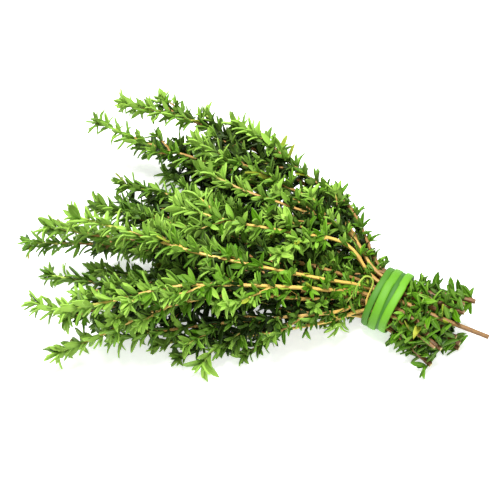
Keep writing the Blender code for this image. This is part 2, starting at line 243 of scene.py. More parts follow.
@dataclass(frozen=True)
class BunchRoutes:
    """How the sprigs run from their cut ends through the band and out over the fan."""

    band: BandSizes = field(default_factory=BandSizes)
    seed: int = 41
    points: int = 52
    # Room that the stems make for each other
    stem_apart: float = 3.4 * MM
    stem_floor: float = 2.4 * MM
    rounds: int = 90
    push: float = 0.45
    # Places in the band, in columns across it
    columns: tuple[int, ...] = (3, 5, 6, 6, 6, 5, 3)
    column_step: float = 3.5 * MM
    slot_height: float = 8.4 * MM
    held_half: float = 7.0 * MM
    held_bare: float = 9.0 * MM
    band_room: float = 1.6 * MM
    # Sprigs under and between the leading ones
    fillers: int = 15
    fill_stride: int = 7
    fill_swing: Pair = (math.radians(-24.0), math.radians(33.0))
    fill_sway: float = math.radians(2.3)
    fill_reach: Pair = (92.0 * MM, 142.0 * MM)
    fill_height: Pair = (5.0 * MM, 30.0 * MM)
    fill_bow: float = 4.0 * MM
    fill_near: float = 26.0 * MM
    fill_drop: Pair = (0.6, 0.9)
    # Cut ends
    tail_reach: Pair = (17.0 * MM, 36.0 * MM)
    tail_spread: float = 0.55
    tail_droop: Pair = (-2.5 * MM, 0.5 * MM)
    long_tail_end: Three = (44.5 * MM, -14.0 * MM, 16.0 * MM)
    long_tail_sprig: int = 8
    # Bend of the thin shoot, at two steps of its route: its top and its fall, each with its spread in steps
    arch_lift: float = 4.5 * MM
    arch_shift: float = 1.5 * MM
    arch_at: tuple[int, int] = (34, 40)
    arch_spread: Pair = (4.5, 4.0)
    arch_before: int = 12
    arch_rounds: int = 5

    def fill_routes(self, rng: random.Random) -> list[list[Array]]:
        """Routes of the sprigs under and between the leading ones.

        Args:
            rng: Source of the small differences between them.

        Returns:
            For each sprig its near, middle and tip places, from the floor under the band.
        """
        up = self.band.axes[2]
        routes = []
        for index in range(self.fillers):
            share = (index + 0.5) / self.fillers
            swing = self.fill_swing[0] + share * (self.fill_swing[1] - self.fill_swing[0])
            swing += rng.uniform(-self.fill_sway, self.fill_sway)
            level = (index * self.fill_stride % self.fillers + 0.5) / self.fillers
            height = self.fill_height[0] + level * (self.fill_height[1] - self.fill_height[0])
            reach = rng.uniform(*self.fill_reach)
            bow = rng.uniform(-self.fill_bow, self.fill_bow)
            towards = np.array([-math.cos(swing), math.sin(swing), 0.0])
            beside = np.array([towards[1], -towards[0], 0.0])
            near = towards * self.fill_near + up * (self.band.height + height) / 2
            middle = towards * reach / 2 + beside * bow + up * (height + self.fill_bow / 2)
            tip = towards * reach + up * height * rng.uniform(*self.fill_drop)
            routes.append([near, middle, tip])
        return routes

    def slots(self, routes: Sequence[Sequence[Array]]) -> dict[int, Pair]:
        """A place in the band for each route.

        Args:
            routes: Routes of all the sprigs.

        Returns:
            For each route's number, its shift across the band and its rise over the band's middle.
        """
        middles = [route[len(route) // 2] for route in routes]
        by_turn = sorted(range(len(routes)), key=lambda i: math.atan2(middles[i][1], -middles[i][0]))
        places = {}
        start = 0
        for column, size in enumerate(self.columns):
            aside = (column - (len(self.columns) - 1) / 2) * self.column_step
            rise = self.slot_height * math.sqrt(1.0 - (aside / self.band.inside[0]) ** 2)
            rows = sorted(by_turn[start : start + size], key=lambda i: routes[i][0][2])
            for row, index in enumerate(rows):
                places[index] = (aside, rise * (2.0 * row / (size - 1) - 1.0))
            start += size
        return places

    def unsettled(self) -> Array:
        """Route of every sprig from cut end to tip, before they make room for each other."""
        rng = random.Random(self.seed)
        ground = np.array([*self.band.at, 0.0])
        leading = [[np.array(point, dtype=float) * MM for point in route] for route in LEADING]
        routes = leading[:-1] + self.fill_routes(rng) + leading[-1:]
        places = self.slots(routes)
        along, across, up = self.band.axes
        paths = []
        for index, route in enumerate(routes):
            aside, rise = places[index]
            slot = self.band.middle + across * aside + up * rise
            tail = rng.uniform(*self.tail_reach)
            droop = rng.uniform(*self.tail_droop)
            spread = across * aside * self.tail_spread * tail / self.tail_reach[1]
            cut_end = slot + along * tail + spread + up * droop
            if index == self.long_tail_sprig:
                cut_end = ground + self.long_tail_end
            held = [slot + along * self.held_half, slot - along * self.held_half]
            paths.append(smooth_route([cut_end] + held + [ground + point for point in route], self.points))
        return np.array(paths)

    def keep_in_band(self, points: Array) -> Array:
        """Brings the stretch of stem within the band back inside its oval.

        Args:
            points: Places along the stems.

        Returns:
            The places, moved where they had left the oval.
        """
        along, across, up = self.band.axes
        offset = points - self.band.middle
        inside = np.abs(offset @ along) < self.held_bare
        aside = offset @ across / (self.band.inside[0] - self.band_room)
        rise = offset @ up / (self.band.inside[1] - self.band_room)
        reach = np.sqrt(aside**2 + rise**2)
        shrink = np.where(inside & (reach > 1.0), 1.0 / np.maximum(reach, 1.0) - 1.0, 0.0)
        level = (offset @ across)[:, None] * across + (offset @ up)[:, None] * up
        return points + level * shrink[:, None]

    def settled(self) -> Array:
        """Routes of all the sprigs, shifted apart until their stems lie clear of each other."""
        paths = self.unsettled()
        homes = paths.copy()
        owner = np.repeat(np.arange(len(paths)), self.points)
        for _ in range(self.rounds):
            flat = paths.reshape(-1, 3)
            away = flat[:, None, :] - flat[None, :, :]
            distance = np.sqrt((away**2).sum(axis=2)) + TINY
            close = (distance < self.stem_apart) & (owner[:, None] != owner[None, :])
            push = np.where(close, self.push * (self.stem_apart - distance) / distance, 0.0)
            flat = flat + (away * push[:, :, None]).sum(axis=1)
            flat[:, 2] = np.maximum(flat[:, 2], self.stem_floor)
            shift = self.keep_in_band(flat).reshape(paths.shape) - homes
            shift[:, 1:-1] = evened(shift)
            paths = homes + shift
        return paths

    def arched(self, route: Array) -> Array:
        """The bent shoot's route, its bend eased into one smooth arc beside the band.

        Args:
            route: Its settled route.

        Returns:
            The route that its stem takes.
        """
        steps = np.arange(len(route))
        bent = route.copy()
        spreads = zip(self.arch_at, self.arch_spread)
        top, fall = (np.exp(-(((steps - at) / wide) ** 2)) for at, wide in spreads)
        bent[:, 2] += self.arch_lift * top
        bent[:, 0] += self.arch_shift * fall
        loose = steps[1:-1, None] > self.arch_at[0] - self.arch_before
        for _ in range(self.arch_rounds):
            bent[1:-1] = np.where(loose, evened(bent), bent[1:-1])
        return bent


# ----------------------------------------------------------------------------------------------------------
# Shader building


class Tone:
    """A shader value that can be reckoned with: a socket and the shader it belongs to."""

    def __init__(self, shader: "Shader", socket: bpy.types.NodeSocket) -> None:
        """Keeps the socket and its shader."""
        self.shader = shader
        self.socket = socket

    def _reckon(self, operation: str, *values: object) -> "Tone":
        """Adds a Math node.

        Args:
            operation: Name of the Math operation.
            *values: Value or link of each of its sockets.

        Returns:
            The node's result.
        """
        return self.shader.node("ShaderNodeMath", {"operation": operation}, dict(enumerate(values)))

    def __add__(self, other: object) -> "Tone":
        """Sum."""
        return self._reckon("ADD", self, other)

    def __mul__(self, other: object) -> "Tone":
        """Product."""
        return self._reckon("MULTIPLY", self, other)

    __radd__ = __add__
    __rmul__ = __mul__

    def __sub__(self, other: object) -> "Tone":
        """Difference."""
        return self._reckon("SUBTRACT", self, other)

    def __rsub__(self, other: object) -> "Tone":
        """Difference the other way round."""
        return self._reckon("SUBTRACT", other, self)

    def absolute(self) -> "Tone":
        """The value without its sign."""
        return self._reckon("ABSOLUTE", self)

    def wave(self) -> "Tone":
        """A wave between 0 and 1 that comes back at every whole number of the value."""
        return self._reckon("SINE", self * TURN) * 0.5 + 0.5

    def ramp(self, low: float, high: float) -> "Tone":
        """The value carried smoothly to the range from 0 to 1 and held at its ends.

        Args:
            low: Value that becomes 0.
            high: Value that becomes 1.

        Returns:
            The value in the new range.
        """
        values = {"Value": self, "From Min": low, "From Max": high}
        return self.shader.node("ShaderNodeMapRange", {"interpolation_type": "SMOOTHSTEP"}, values)


class Shader:
    """A material's node tree, built from expressions."""

    def __init__(self, name: str) -> None:
        """Starts a material with only a Principled surface."""
        self.material = bpy.data.materials.new(name)
        self.material.use_nodes = True
        self.nodes = self.material.node_tree.nodes
        self.surface = self.nodes["Principled BSDF"]

    def node(
        self, kind: str, settings: dict[str, object], values: dict[object, object], out: object = 0
    ) -> Tone:
        """Adds a node.

        Args:
            kind: The node's type.
            settings: Its properties, set first.
            values: Value or link of each socket, by name or number.
            out: The output that is wanted, by name or number.

        Returns:
            The wanted output.
        """
        made = self.nodes.new(kind)
        for name, setting in settings.items():
            setattr(made, name, setting)
        for name, value in values.items():
            self.feed(made.inputs[name], value)
        return Tone(self, made.outputs[out])

    def feed(self, socket: bpy.types.NodeSocket, value: object) -> None:
        """Gives a socket a value or a link.

        Args:
            socket: The socket.
            value: The value, or the tone that is linked to it.
        """
        if isinstance(value, Tone):
            self.material.node_tree.links.new(value.socket, socket)
        else:
            socket.default_value = value

    def attribute(self, name: str) -> tuple[Tone, Tone, Tone, Tone]:
        """Reads colouring marks from the mesh.

        Args:
            name: Name of the marks.

        Returns:
            Their three channels and their fourth.
        """
        read = self.nodes.new("ShaderNodeAttribute")
        read.attribute_name = name
        parts = self.nodes.new("ShaderNodeSeparateColor")
        self.material.node_tree.links.new(read.outputs["Color"], parts.inputs["Color"])
        return (*(Tone(self, output) for output in parts.outputs), Tone(self, read.outputs["Alpha"]))

    def mix(self, share: object, first: object, second: object) -> Tone:
        """Mixes two colours.

        Args:
            share: How much of the second colour.
            first: The first colour.
            second: The second colour.

        Returns:
            The mixed colour.
        """
        return self.node("ShaderNodeMix", {"data_type": "RGBA"}, {0: share, 6: first, 7: second}, 2)

    def noise(self, scale: float, detail: float = 2.0) -> Tone:
        """Noise in the piece's own space.

        Args:
            scale: Grains to a metre.
            detail: How fine it goes.

        Returns:
            The noise, between 0 and 1.
        """
        place = self.node("ShaderNodeTexCoord", {}, {}, "Object")
        return self.node("ShaderNodeTexNoise", {}, {"Vector": place, "Scale": scale, "Detail": detail})

    def bump(self, height: Tone, distance: float, strength: float) -> Tone:
        """A bumped normal.

        Args:
            height: The height, between 0 and 1.
            distance: Height of a full step in metres.
            strength: How strongly it shows.

        Returns:
            The normal.
        """
        return self.node("ShaderNodeBump", {}, {"Height": height, "Distance": distance, "Strength": strength})

    def finish(self, colour: object, roughness: object, **others: object) -> Material:
        """Feeds the surface.

        Args:
            colour: Base colour.
            roughness: Roughness.
            **others: Further sockets of the surface, by name with _ for a space.

        Returns:
            The finished material.
        """
        self.feed(self.surface.inputs["Base Color"], colour)
        self.feed(self.surface.inputs["Roughness"], roughness)
        for name, value in others.items():
            self.feed(self.surface.inputs[name.replace("_", " ")], value)
        return self.material


def tone(red: float, green: float, blue: float) -> Colour:
    """A colour given in display values from 0 to 255, as the shader takes it."""
    shares = [value / 255 for value in (red, green, blue)]
    linear = [v / 12.92 if v <= 10 / 255 else ((v + 0.055) / 1.055) ** 2.4 for v in shares]
    return (*linear, 1.0)


@dataclass(frozen=True)
class LeafFinish:
    """Satin green of the leaves: darker with age, paler beneath, with a light midrib and veins. Painted shade
    darkens the leaves that sit deep among the others, and the foot of every leaf.

    The grains of its noise are counted to a metre, its veins along the leaf and from rib to margin.
    """

    old: Colour = tone(46, 82, 3)
    grown: Colour = tone(84, 138, 9)
    young: Colour = tone(158, 200, 80)
    beneath: Colour = tone(112, 148, 56)
    rib: Colour = tone(164, 198, 100)
    yellowed: Colour = tone(178, 172, 52)
    # Painted shade colour, for leaves deep among the others and at the foot of every leaf
    shaded: Colour = tone(16, 32, 3)
    mottle: float = 900.0
    pores: float = 4200.0
    veins: Pair = (9.0, 5.0)
    relief: float = 0.12 * MM
    gloss: float = 0.18

    def build(self) -> Material:
        """Makes the material."""
        shader = Shader("thyme_leaf")
        along, across, under, _ = shader.attribute("blade")
        tint, youth, yellow, depth = shader.attribute("growth")
        mottle = shader.noise(self.mottle)
        aside = (across - 0.5).absolute()
        # The tint sets how much of the old green shows; the fillers' low tint is partly painted shade
        age = (tint * 0.8 + mottle * 0.3).ramp(0.2, 0.9)
        colour = shader.mix(age, self.old, self.grown)
        fresh = (youth * 0.75 + tint * 0.35 + along * 0.15).ramp(0.35, 1.15)
        colour = shader.mix(fresh, colour, self.young)
        colour = shader.mix(under * 0.5, colour, self.beneath)
        off_rib = (aside * 2.0).ramp(0.0, 0.2)
        colour = shader.mix((1.0 - off_rib) * along.ramp(1.0, 0.3) * 0.45, colour, self.rib)
        colour = shader.mix(yellow, colour, self.yellowed)
        # Painted shade: leaves deep among the others, and the foot of every leaf, are darkened towards the
        # shaded green
        painted_depth_shade = depth.ramp(0.06, 0.46) * 0.92
        foot = along.ramp(0.35, 0.0) * 0.4
        colour = shader.mix(painted_depth_shade + foot * (1.0 - painted_depth_shade), colour, self.shaded)
        veins = (along * self.veins[0] - aside * self.veins[1]).wave()
        height = off_rib * 0.7 + veins * 0.15 + shader.noise(self.pores) * 0.15
        normal = shader.bump(height, self.relief, 0.5)
        roughness = mottle * 0.2 + under * 0.15 + 0.38
        return shader.finish(colour, roughness, Normal=normal, Specular_IOR_Level=self.gloss)


@dataclass(frozen=True)
class StemFinish:
    """Ribbed bark: woody brown by the cut end, tan further out, reddish at the joints, green at the tip."""

    woody: Colour = tone(106, 72, 30)
    bark: Colour = tone(160, 118, 54)
    straw: Colour = tone(222, 186, 90)
    joint: Colour = tone(132, 84, 44)
    fresh: Colour = tone(158, 190, 70)
    grain: float = 700.0
    ribs: float = 4.0
    relief: float = 0.15 * MM

    def build(self) -> Material:
        """Makes the material."""
        shader = Shader("thyme_stem")
        along, around, _, _ = shader.attribute("blade")
        shade, jointed, green, _ = shader.attribute("growth")
        grain = shader.noise(self.grain, 3.0)
        age = (along * 0.9 + grain * 0.4 + shade * 0.28).ramp(0.36, 0.76)
        colour = shader.mix(age, self.woody, self.bark)
        pale = (shade * 0.8 + grain * 0.4).ramp(0.35, 0.9) * along.ramp(0.12, 0.42)
        colour = shader.mix(pale, colour, self.straw)
        colour = shader.mix(jointed * 0.45, colour, self.joint)
        colour = shader.mix(along.ramp(0.86, 1.0) + green * along.ramp(0.5, 0.6) * 0.85, colour, self.fresh)
        height = (around * self.ribs).wave() * 0.5 + grain * 0.5
        return shader.finish(colour, grain * 0.25 + 0.45, Normal=shader.bump(height, self.relief, 0.6))


@dataclass(frozen=True)
class CutFinish:
    """Pale wood of a cut stem, damp in places."""

    wood: Colour = tone(206, 200, 132)
    damp: Colour = tone(170, 160, 88)
    grain: float = 2600.0
    relief: float = 0.1 * MM

    def build(self) -> Material:
        """Makes the material."""
        shader = Shader("thyme_cut")
        fibre = shader.noise(self.grain)
        colour = shader.mix(fibre, self.damp, self.wood)
        return shader.finish(colour, fibre * 0.2 + 0.6, Normal=shader.bump(fibre, self.relief, 0.5))


@dataclass(frozen=True)
class BandFinish:
    """Smooth lime elastic with fine lines along the strip, each turn painted lighter or darker as painted
    light and shade.
    """

    # The deep green is the painted shade of the elastic and the colour of its fine lines; the other green is
    # its painted light
    deep: Colour = tone(52, 108, 8)
    lit_lime: Colour = tone(102, 166, 22)
    lines: float = 14.0
    cloud: float = 260.0
    relief: float = 0.1 * MM

    def build(self) -> Material:
        """Makes the material."""
        shader = Shader("green_elastic")
        _, across, shade, _ = shader.attribute("blade")
        values = {"W": across, "Scale": self.lines}
        lines = shader.node("ShaderNodeTexNoise", {"noise_dimensions": "1D"}, values)
        cloud = shader.noise(self.cloud)
        # Painted light and shade: each turn's mark mixes the shaded and the lit green
        colour = shader.mix((shade + cloud * 0.2).ramp(0.1, 1.1), self.deep, self.lit_lime)
        colour = shader.mix(lines * 0.18, colour, self.deep)
        height = lines * 0.6 + cloud * 0.4
        return shader.finish(colour, cloud * 0.12 + 0.6, Normal=shader.bump(height, self.relief, 0.35))


# ----------------------------------------------------------------------------------------------------------
# Masters that are modelled once and copied


@dataclass
class Master:
    """A modelled shape as arrays: places, faces, each corner's spot on the bake sheet, colouring marks."""

    places: Array
    faces: list[list[int]]
    corner_uv: list[Pair]
    marks: Array
    thick: float = 0.0


@dataclass(frozen=True)
class LeafMould:
    """One leaf a unit long, lying along X from its root: a plump blade with a sunk midrib.

    Attributes:
        stations: Places along the leaf where its width is given.
        half_widths: Half its width at each of them.
        arch: Rise of its middle.
        keel: Depth of the midrib.
        keel_span: Where the midrib starts and ends.
        thick: Thickness of the blade.
        near: How close to a place counts as being at it.
        least_half: Least half width that shares across the blade are taken of.
        sheet_along: Start and length of the leaf on its spot of the bake sheet.
        sheet_rows: Middle of the upper and of the under side on that spot.
        sheet_wide: Width of each side on that spot.
        sheet_rim: Width of the upper side with its margin.
    """

    stations: tuple[float, ...] = (0.0, 0.18, 0.46, 0.78, 1.0)
    half_widths: tuple[float, ...] = (0.11, 0.38, 0.5, 0.36, 0.0)
    arch: float = 0.06
    keel: float = 0.05
    keel_span: Pair = (0.05, 0.9)
    thick: float = 0.13
    near: float = 0.01
    least_half: float = 0.02
    sheet_along: Pair = (0.04, 0.92)
    sheet_rows: Pair = (0.25, 0.75)
    sheet_wide: float = 0.42
    sheet_rim: float = 0.46

    def model(self) -> Master:
        """Models the leaf and reads it into arrays.

        Returns:
            The master, with marks for along, across and under on each vertex.
        """
        columns = len(self.stations) - 1
        deselect_all()
        bpy.ops.mesh.primitive_grid_add(
            x_subdivisions=columns, y_subdivisions=2, size=1.0, location=(0.5, 0.0, 0.0)
        )
        leaf = bpy.context.object
        bpy.ops.object.transform_apply(location=True, rotation=False, scale=False)
        bpy.ops.object.mode_set(mode="EDIT")
        for column in range(1, columns):
            start, x, wide = column / columns, self.stations[column], 2.0 * self.half_widths[column]
            select_where(leaf, lambda place, start=start: abs(place.x - start) < self.near)
            bpy.ops.transform.translate(value=(x - start, 0.0, self.arch * 4.0 * x * (1.0 - x)))
            bpy.ops.transform.resize(value=(1.0, wide, 1.0), center_override=(x, 0.0, 0.0))
        select_where(leaf, lambda place: place.x < self.near)
        wide = 2.0 * self.half_widths[0]
        bpy.ops.transform.resize(value=(1.0, wide, 1.0), center_override=(0.0, 0.0, 0.0))
        select_where(leaf, lambda place: place.x > 1.0 - self.near)
        bpy.ops.mesh.merge(type="CENTER")
        low, high = self.keel_span
        select_where(leaf, lambda place: abs(place.y) < self.near and low < place.x < high)
        bpy.ops.transform.translate(value=(0.0, 0.0, -self.keel))
        bpy.ops.object.mode_set(mode="OBJECT")
        upper = len(leaf.data.vertices)
        wall = leaf.modifiers.new("blade", "SOLIDIFY")
        wall.thickness = self.thick
        wall.offset = -1.0
        bpy.ops.object.modifier_apply(modifier=wall.name)
        return self._read(leaf, upper)

    def _read(self, leaf: Object, upper: int) -> Master:
        """Turns the modelled leaf into arrays and removes it.

        Args:
            leaf: The modelled leaf.
            upper: Number of its vertices that are on the upper side; they come first.

        Returns:
            The master.
        """
        places = np.array([vert.co[:] for vert in leaf.data.vertices])
        faces = [list(face.vertices) for face in leaf.data.polygons]
        start, run = self.sheet_along
        corner_uv = []
        for face in faces:
            beneath = min(face) >= upper
            for index in face:
                x, y = places[index][:2]
                wide = self.sheet_rim if index >= upper and not beneath else self.sheet_wide
                corner_uv.append((start + run * x, self.sheet_rows[beneath] + wide * y))
        half = np.interp(places[:, 0], self.stations, self.half_widths)
        across = 0.5 + 0.5 * np.clip(places[:, 1] / np.maximum(half, self.least_half), -1.0, 1.0)
        under = (np.arange(len(places)) >= upper).astype(float)
        marks = np.stack([places[:, 0], across, under], axis=1)
        bpy.data.objects.remove(leaf)
        return Master(places, faces, corner_uv, marks, self.thick)


@dataclass(frozen=True)
class StemMould:
    """One stem a unit long and a unit thick, standing along Z, with rings to bend it at.

    Attributes:
        sides: Number of its sides.
        rings: Number of lengths between its rings.
        sheet_wall: Length and height of its wall on its strip of the bake sheet.
        sheet_cap: Middle of its two ends on that strip.
        sheet_cap_size: Size of its ends on that strip.
    """

    sides: int = 8
    rings: int = 60
    sheet_wall: Pair = (0.97, 0.9)
    sheet_cap: Pair = (0.985, 0.5)
    sheet_cap_size: Pair = (0.02, 0.9)

    def model(self) -> Master:
        """Models the stem and reads it into arrays.

        Returns:
            The master, whose marks are the share of its length and the share round it.
        """
        deselect_all()
        bpy.ops.mesh.primitive_cylinder_add(
            vertices=self.sides, radius=0.5, depth=1.0, location=(0.0, 0.0, 0.5)
        )
        stem = bpy.context.object
        bpy.ops.object.transform_apply(location=True, rotation=False, scale=False)
        bpy.ops.object.mode_set(mode="EDIT")
        bpy.ops.mesh.select_mode(type="EDGE")
        mesh = bmesh.from_edit_mesh(stem.data)
        for edge in mesh.edges:
            low, high = edge.verts
            edge.select_set(abs(low.co.z - high.co.z) > 0.5)
        bmesh.update_edit_mesh(stem.data)
        bpy.ops.mesh.subdivide(number_cuts=self.rings - 1)
        bpy.ops.mesh.select_mode(type="VERT")
        bpy.ops.object.mode_set(mode="OBJECT")
        return self._read(stem)

    def _read(self, stem: Object) -> Master:
        """Turns the modelled stem into arrays and removes it.

        Args:
            stem: The modelled stem.

        Returns:
            The master.
        """
        places = np.array([vert.co[:] for vert in stem.data.vertices])
        faces = [list(face.vertices) for face in stem.data.polygons]
        around = (np.arctan2(places[:, 1], places[:, 0]) / TURN) % 1.0
        corner_uv = []
        for face in faces:
            turns = around[face]
            wraps = turns.max() - turns.min() > 0.5
            for index, turn in zip(face, turns):
                if len(face) > WALL_CORNERS:
                    spot = np.array(self.sheet_cap) + places[index][:2] * self.sheet_cap_size
                    corner_uv.append(tuple(spot))
                else:
                    turn = turn + 1.0 if wraps and turn < 0.5 else turn
                    corner_uv.append((self.sheet_wall[0] * places[index][2], turn * self.sheet_wall[1]))
        marks = np.stack([places[:, 2], around], axis=1)
        bpy.data.objects.remove(stem)
        return Master(places, faces, corner_uv, marks)


# ----------------------------------------------------------------------------------------------------------
# The sprigs


class Slot(IntEnum):
    """Material slots of a sprig."""

    LEAF = 0
    BARK = 1
    CUT = 2


class LeafKind(Enum):
    """What a leaf is on its stem."""

    PAIRED = "paired"
    AXIL = "axil"
    CROWN = "crown"


@dataclass(frozen=True)
class SprigLook:
    """What sets one sprig apart.

    Attributes:
        tint: How light its leaves are.
        bark: How light its bark is.
        leaf: Size of its leaves against the usual.
        crown: Size of the leaves at its tip against the others.
        slim: Width of its stem against the usual.
        branch_from: How far out its first side branch stands.
        tufts: How many leaves its axils carry against the usual.
        spacing: Length between its joints against the usual.
        bare: Length of stem beyond the band without leaves, besides the usual.
        branches: Least and greatest number of its side branches.
        fresh: How much its outer leaves pale against the usual.
        green: How green its stem is.
        broad: Width of its leaves against the usual.
        crown_leaves: Number of leaves at its tip.
    """

    tint: float
    bark: float
    leaf: float = 1.0
    crown: float = 1.0
    slim: float = 1.0
    branch_from: float = 0.32
    tufts: float = 0.9
    spacing: float = 1.0
    bare: float = 0.0
    branches: tuple[int, int] = (4, 6)
    fresh: float = 1.0
    green: float = 0.0
    broad: float = 1.0
    crown_leaves: int = 7


# Looks of the leading sprigs, in the order of their routes; the last is the thin bent shoot.
LEADING_LOOKS = (
    SprigLook(0.55, 0.25, branch_from=0.5, tufts=1.2, spacing=0.92, branches=(5, 6), fresh=0.8),
    SprigLook(0.6, 0.2, 1.1, branch_from=0.62, tufts=1.25, spacing=0.88, branches=(2, 3), fresh=0.85),
    SprigLook(0.45, 0.45, spacing=0.9, branches=(6, 8), fresh=0.65),
    SprigLook(0.2, 0.35, branch_from=0.3, spacing=0.9, branches=(9, 10), fresh=0.5),
    SprigLook(0.3, 0.7, branch_from=0.3, spacing=0.9, branches=(7, 8), fresh=0.45),
    SprigLook(0.0, 0.1, fresh=0.1),
    SprigLook(0.7, 0.5, 1.05, branch_from=0.2, branches=(7, 8), fresh=0.85),
    SprigLook(0.8, 0.85, 1.12, 1.15, tufts=0.8, spacing=1.15, fresh=0.85),
    SprigLook(0.8, 1.0, 1.08, 1.15, tufts=0.8, spacing=1.15, fresh=0.85),
    SprigLook(0.35, 0.4, fresh=0.7),
    SprigLook(0.3, 0.2, fresh=0.3, broad=0.85),
    SprigLook(0.2, 0.5, branch_from=0.12, branches=(7, 9), fresh=0.5),
    SprigLook(0.45, 0.4, 1.05, branch_from=0.12, branches=(6, 8), fresh=0.75),
    SprigLook(0.8, 0.95, 1.12, 1.2, tufts=0.8, spacing=1.15, fresh=0.85),
    SprigLook(0.6, 0.7, 1.05, 1.1, branch_from=0.12, branches=(5, 7), fresh=0.85),
    SprigLook(0.3, 0.55, 1.05, branch_from=0.25, tufts=1.1, bare=5.0 * MM, branches=(8, 10), fresh=0.6),
    SprigLook(0.4, 1.0, 1.1, 1.35, tufts=0.6, spacing=1.5, bare=12.0 * MM, branches=(0, 0)),
    SprigLook(0.6, 0.4, 1.08, branch_from=0.25, tufts=1.1, spacing=0.9, branches=(8, 9), fresh=0.85),
    SprigLook(
        0.75, 1.0, 1.0, 1.5, 0.6, tufts=0.25, spacing=0.9, bare=19.0 * MM, green=1.0, broad=0.55,
        crown_leaves=4,
    ),
)
FILLER_LOOK = SprigLook(0.3, 0.3, branch_from=0.08, tufts=1.3, spacing=0.66, branches=(8, 10), fresh=0.6)
LOWEST_FILLER_LOOK = SprigLook(
    0.25, 0.8, branch_from=0.45, tufts=1.2, bare=33.0 * MM, branches=(6, 7), fresh=0.6
)
# The fillers' leaves are darker partly as painted shade, for lying low under the leading sprigs, and partly
# as a random tone
FILLER_SHADED_TINT = (0.0, 0.35)
FILLER_BARK = (0.0, 0.6)
FILLER_SEED = 7
SPRIG_SEED = 1000


@dataclass
class Leaf:
    """One leaf to be placed: its root, how it lies, its size, its colouring and how deep it sits, which sets
    its painted shade.
    """

    root: Array
    axis: Array
    face: Array
    length: float
    width: float
    curl: float
    tint: float
    youth: float
    yellow: float
    depth: float = 0.0

    @property
    def middle(self) -> Vector:
        """The middle of the blade."""
        return Vector(self.root + self.axis * self.length * 0.5)


@dataclass(frozen=True)
class SprigSizes:
    """Sizes and spacings that all the sprigs share.

    Three values are the ones at the band, at the second station on the way out, and at the tip. Two values
    are a least and a greatest one, or the ones at a stem's foot and at its tip, unless their comment says
    otherwise.
    """

    stations: Three = (0.0, 0.66, 1.0)
    # Stems: how far their square section is rounded, and where the bark of a side branch starts in age
    stem_wide: Pair = (1.85 * MM, 0.8 * MM)
    branch_wide: Pair = (0.95 * MM, 0.6 * MM)
    rounded: float = 0.75
    branch_age: float = 0.55
    joint_swell: float = 0.3
    joint_reach: float = 0.9 * MM
    tip_trim: float = 3.0 * MM
    # Joints
    first_joint: Pair = (0.0 * MM, 3.0 * MM)
    joint_step: Three = (8.0 * MM, 5.4 * MM, 2.5 * MM)
    step_spread: Pair = (0.85, 1.15)
    last_joint: float = 0.6 * MM
    held_bare: float = 7.4 * MM
    # Cut ends past the band
    tail_first_joint: Pair = (0.6 * MM, 2.4 * MM)
    tail_joint_step: float = 4.2 * MM
    tail_step_spread: Pair = (0.8, 1.2)
    tail_bare: float = 8.8 * MM
    long_tail: float = 40.0 * MM
    long_tail_bare: float = 17.0 * MM
    tail_length: float = 7.2 * MM
    tail_angle: Pair = (35.0, 115.0)
    tail_width: float = 0.36
    tail_youth: float = 0.05
    tail_tufts: float = 0.62
    # Leaves in pairs
    turn_spread: float = 0.25
    leaf_foot: float = 0.35
    pair_length: Three = (5.0 * MM, 7.5 * MM, 7.4 * MM)
    pair_length_spread: Pair = (0.82, 1.1)
    pair_angle: Three = (62.0, 54.0, 38.0)
    pair_angle_spread: float = 14.0
    # Tufts in the axils; the first of their two directions across the bud is level with regard to tuft_up
    bud_lean: Pair = (0.55, 0.85)
    tuft_leaves: Three = (4.3, 3.9, 1.6)
    tuft_share: Pair = (0.58, 0.98)
    tuft_angle: Pair = (22.0, 58.0)
    tuft_stalk: float = 1.6 * MM
    tuft_up: Three = (0.3, 0.2, 1.0)
    tuft_turn: float = 2.4
    tuft_turn_spread: float = 0.4
    # Crowns at the tips: their innermost angle and what is added for the outermost
    crown_foot: float = 0.2 * MM
    crown_angle: Pair = (8.0, 58.0)
    crown_angle_spread: float = 8.0
    crown_share: Pair = (0.8, 1.08)
    crown_taper: float = 0.45
    # Every leaf
    leaf_width: Three = (0.25, 0.31, 0.33)
    leaf_width_spread: Pair = (0.86, 1.16)
    least_face: float = 0.15
    face_spread: float = 0.3
    sky_lean: float = 0.75
    floor_gap: float = 0.25 * MM
    tip_gap: float = 0.9 * MM
    band_gap: float = 8.6 * MM
    steepest: float = 0.9
    # Thickness of a leaf against its length: a fixed part and a part of its width
    plump: Pair = (0.6, 0.4)
    # Colouring; the curl is a middle value and its spread
    curl: Pair = (-0.08, 0.2)
    youth_from: float = 0.5
    axil_youth: float = 0.2
    youth_spread: float = 0.16
    tip_tint: float = 0.1
    tint_spread: float = 0.32
    yellow_share: float = 0.01
    yellow: Pair = (0.3, 0.8)
    # Side branches: the taper is a first part less a second part of how far out they stand, and the floor is
    # a first height more a second part of the length along them
    branch_reach: float = 50.0 * MM
    branch_until: float = 0.85
    branch_turn: Pair = (-0.9, 0.6)
    branch_length: Pair = (9.0 * MM, 17.0 * MM)
    branch_taper: Pair = (1.15, 0.45)
    branch_angle: Pair = (30.0, 52.0)
    branch_points: int = 12
    branch_follow: float = 0.35
    branch_stray: float = 0.15
    branch_lift: float = 0.12
    branch_floor: Pair = (1.6 * MM, 0.1)
    branch_rise: float = 3.0 * MM
    branch_top: float = 42.0 * MM
    branch_droop: float = 1.5
    branch_first_joint: float = 2.5 * MM
    branch_last_joint: float = 0.5 * MM
    branch_step: Three = (4.6 * MM, 3.6 * MM, 2.4 * MM)
    branch_leaf: float = 0.86
    branch_foot: float = 0.6


@dataclass(frozen=True)
class Sheet:
    """How a sprig fills its bake sheet: leaves in square cells below, stems in strips above them."""

    leaves: float = 0.94
    leaf_filled: float = 0.96
    strip_start: float = 0.005
    strip_run: float = 0.985
    strip_filled: float = 0.9


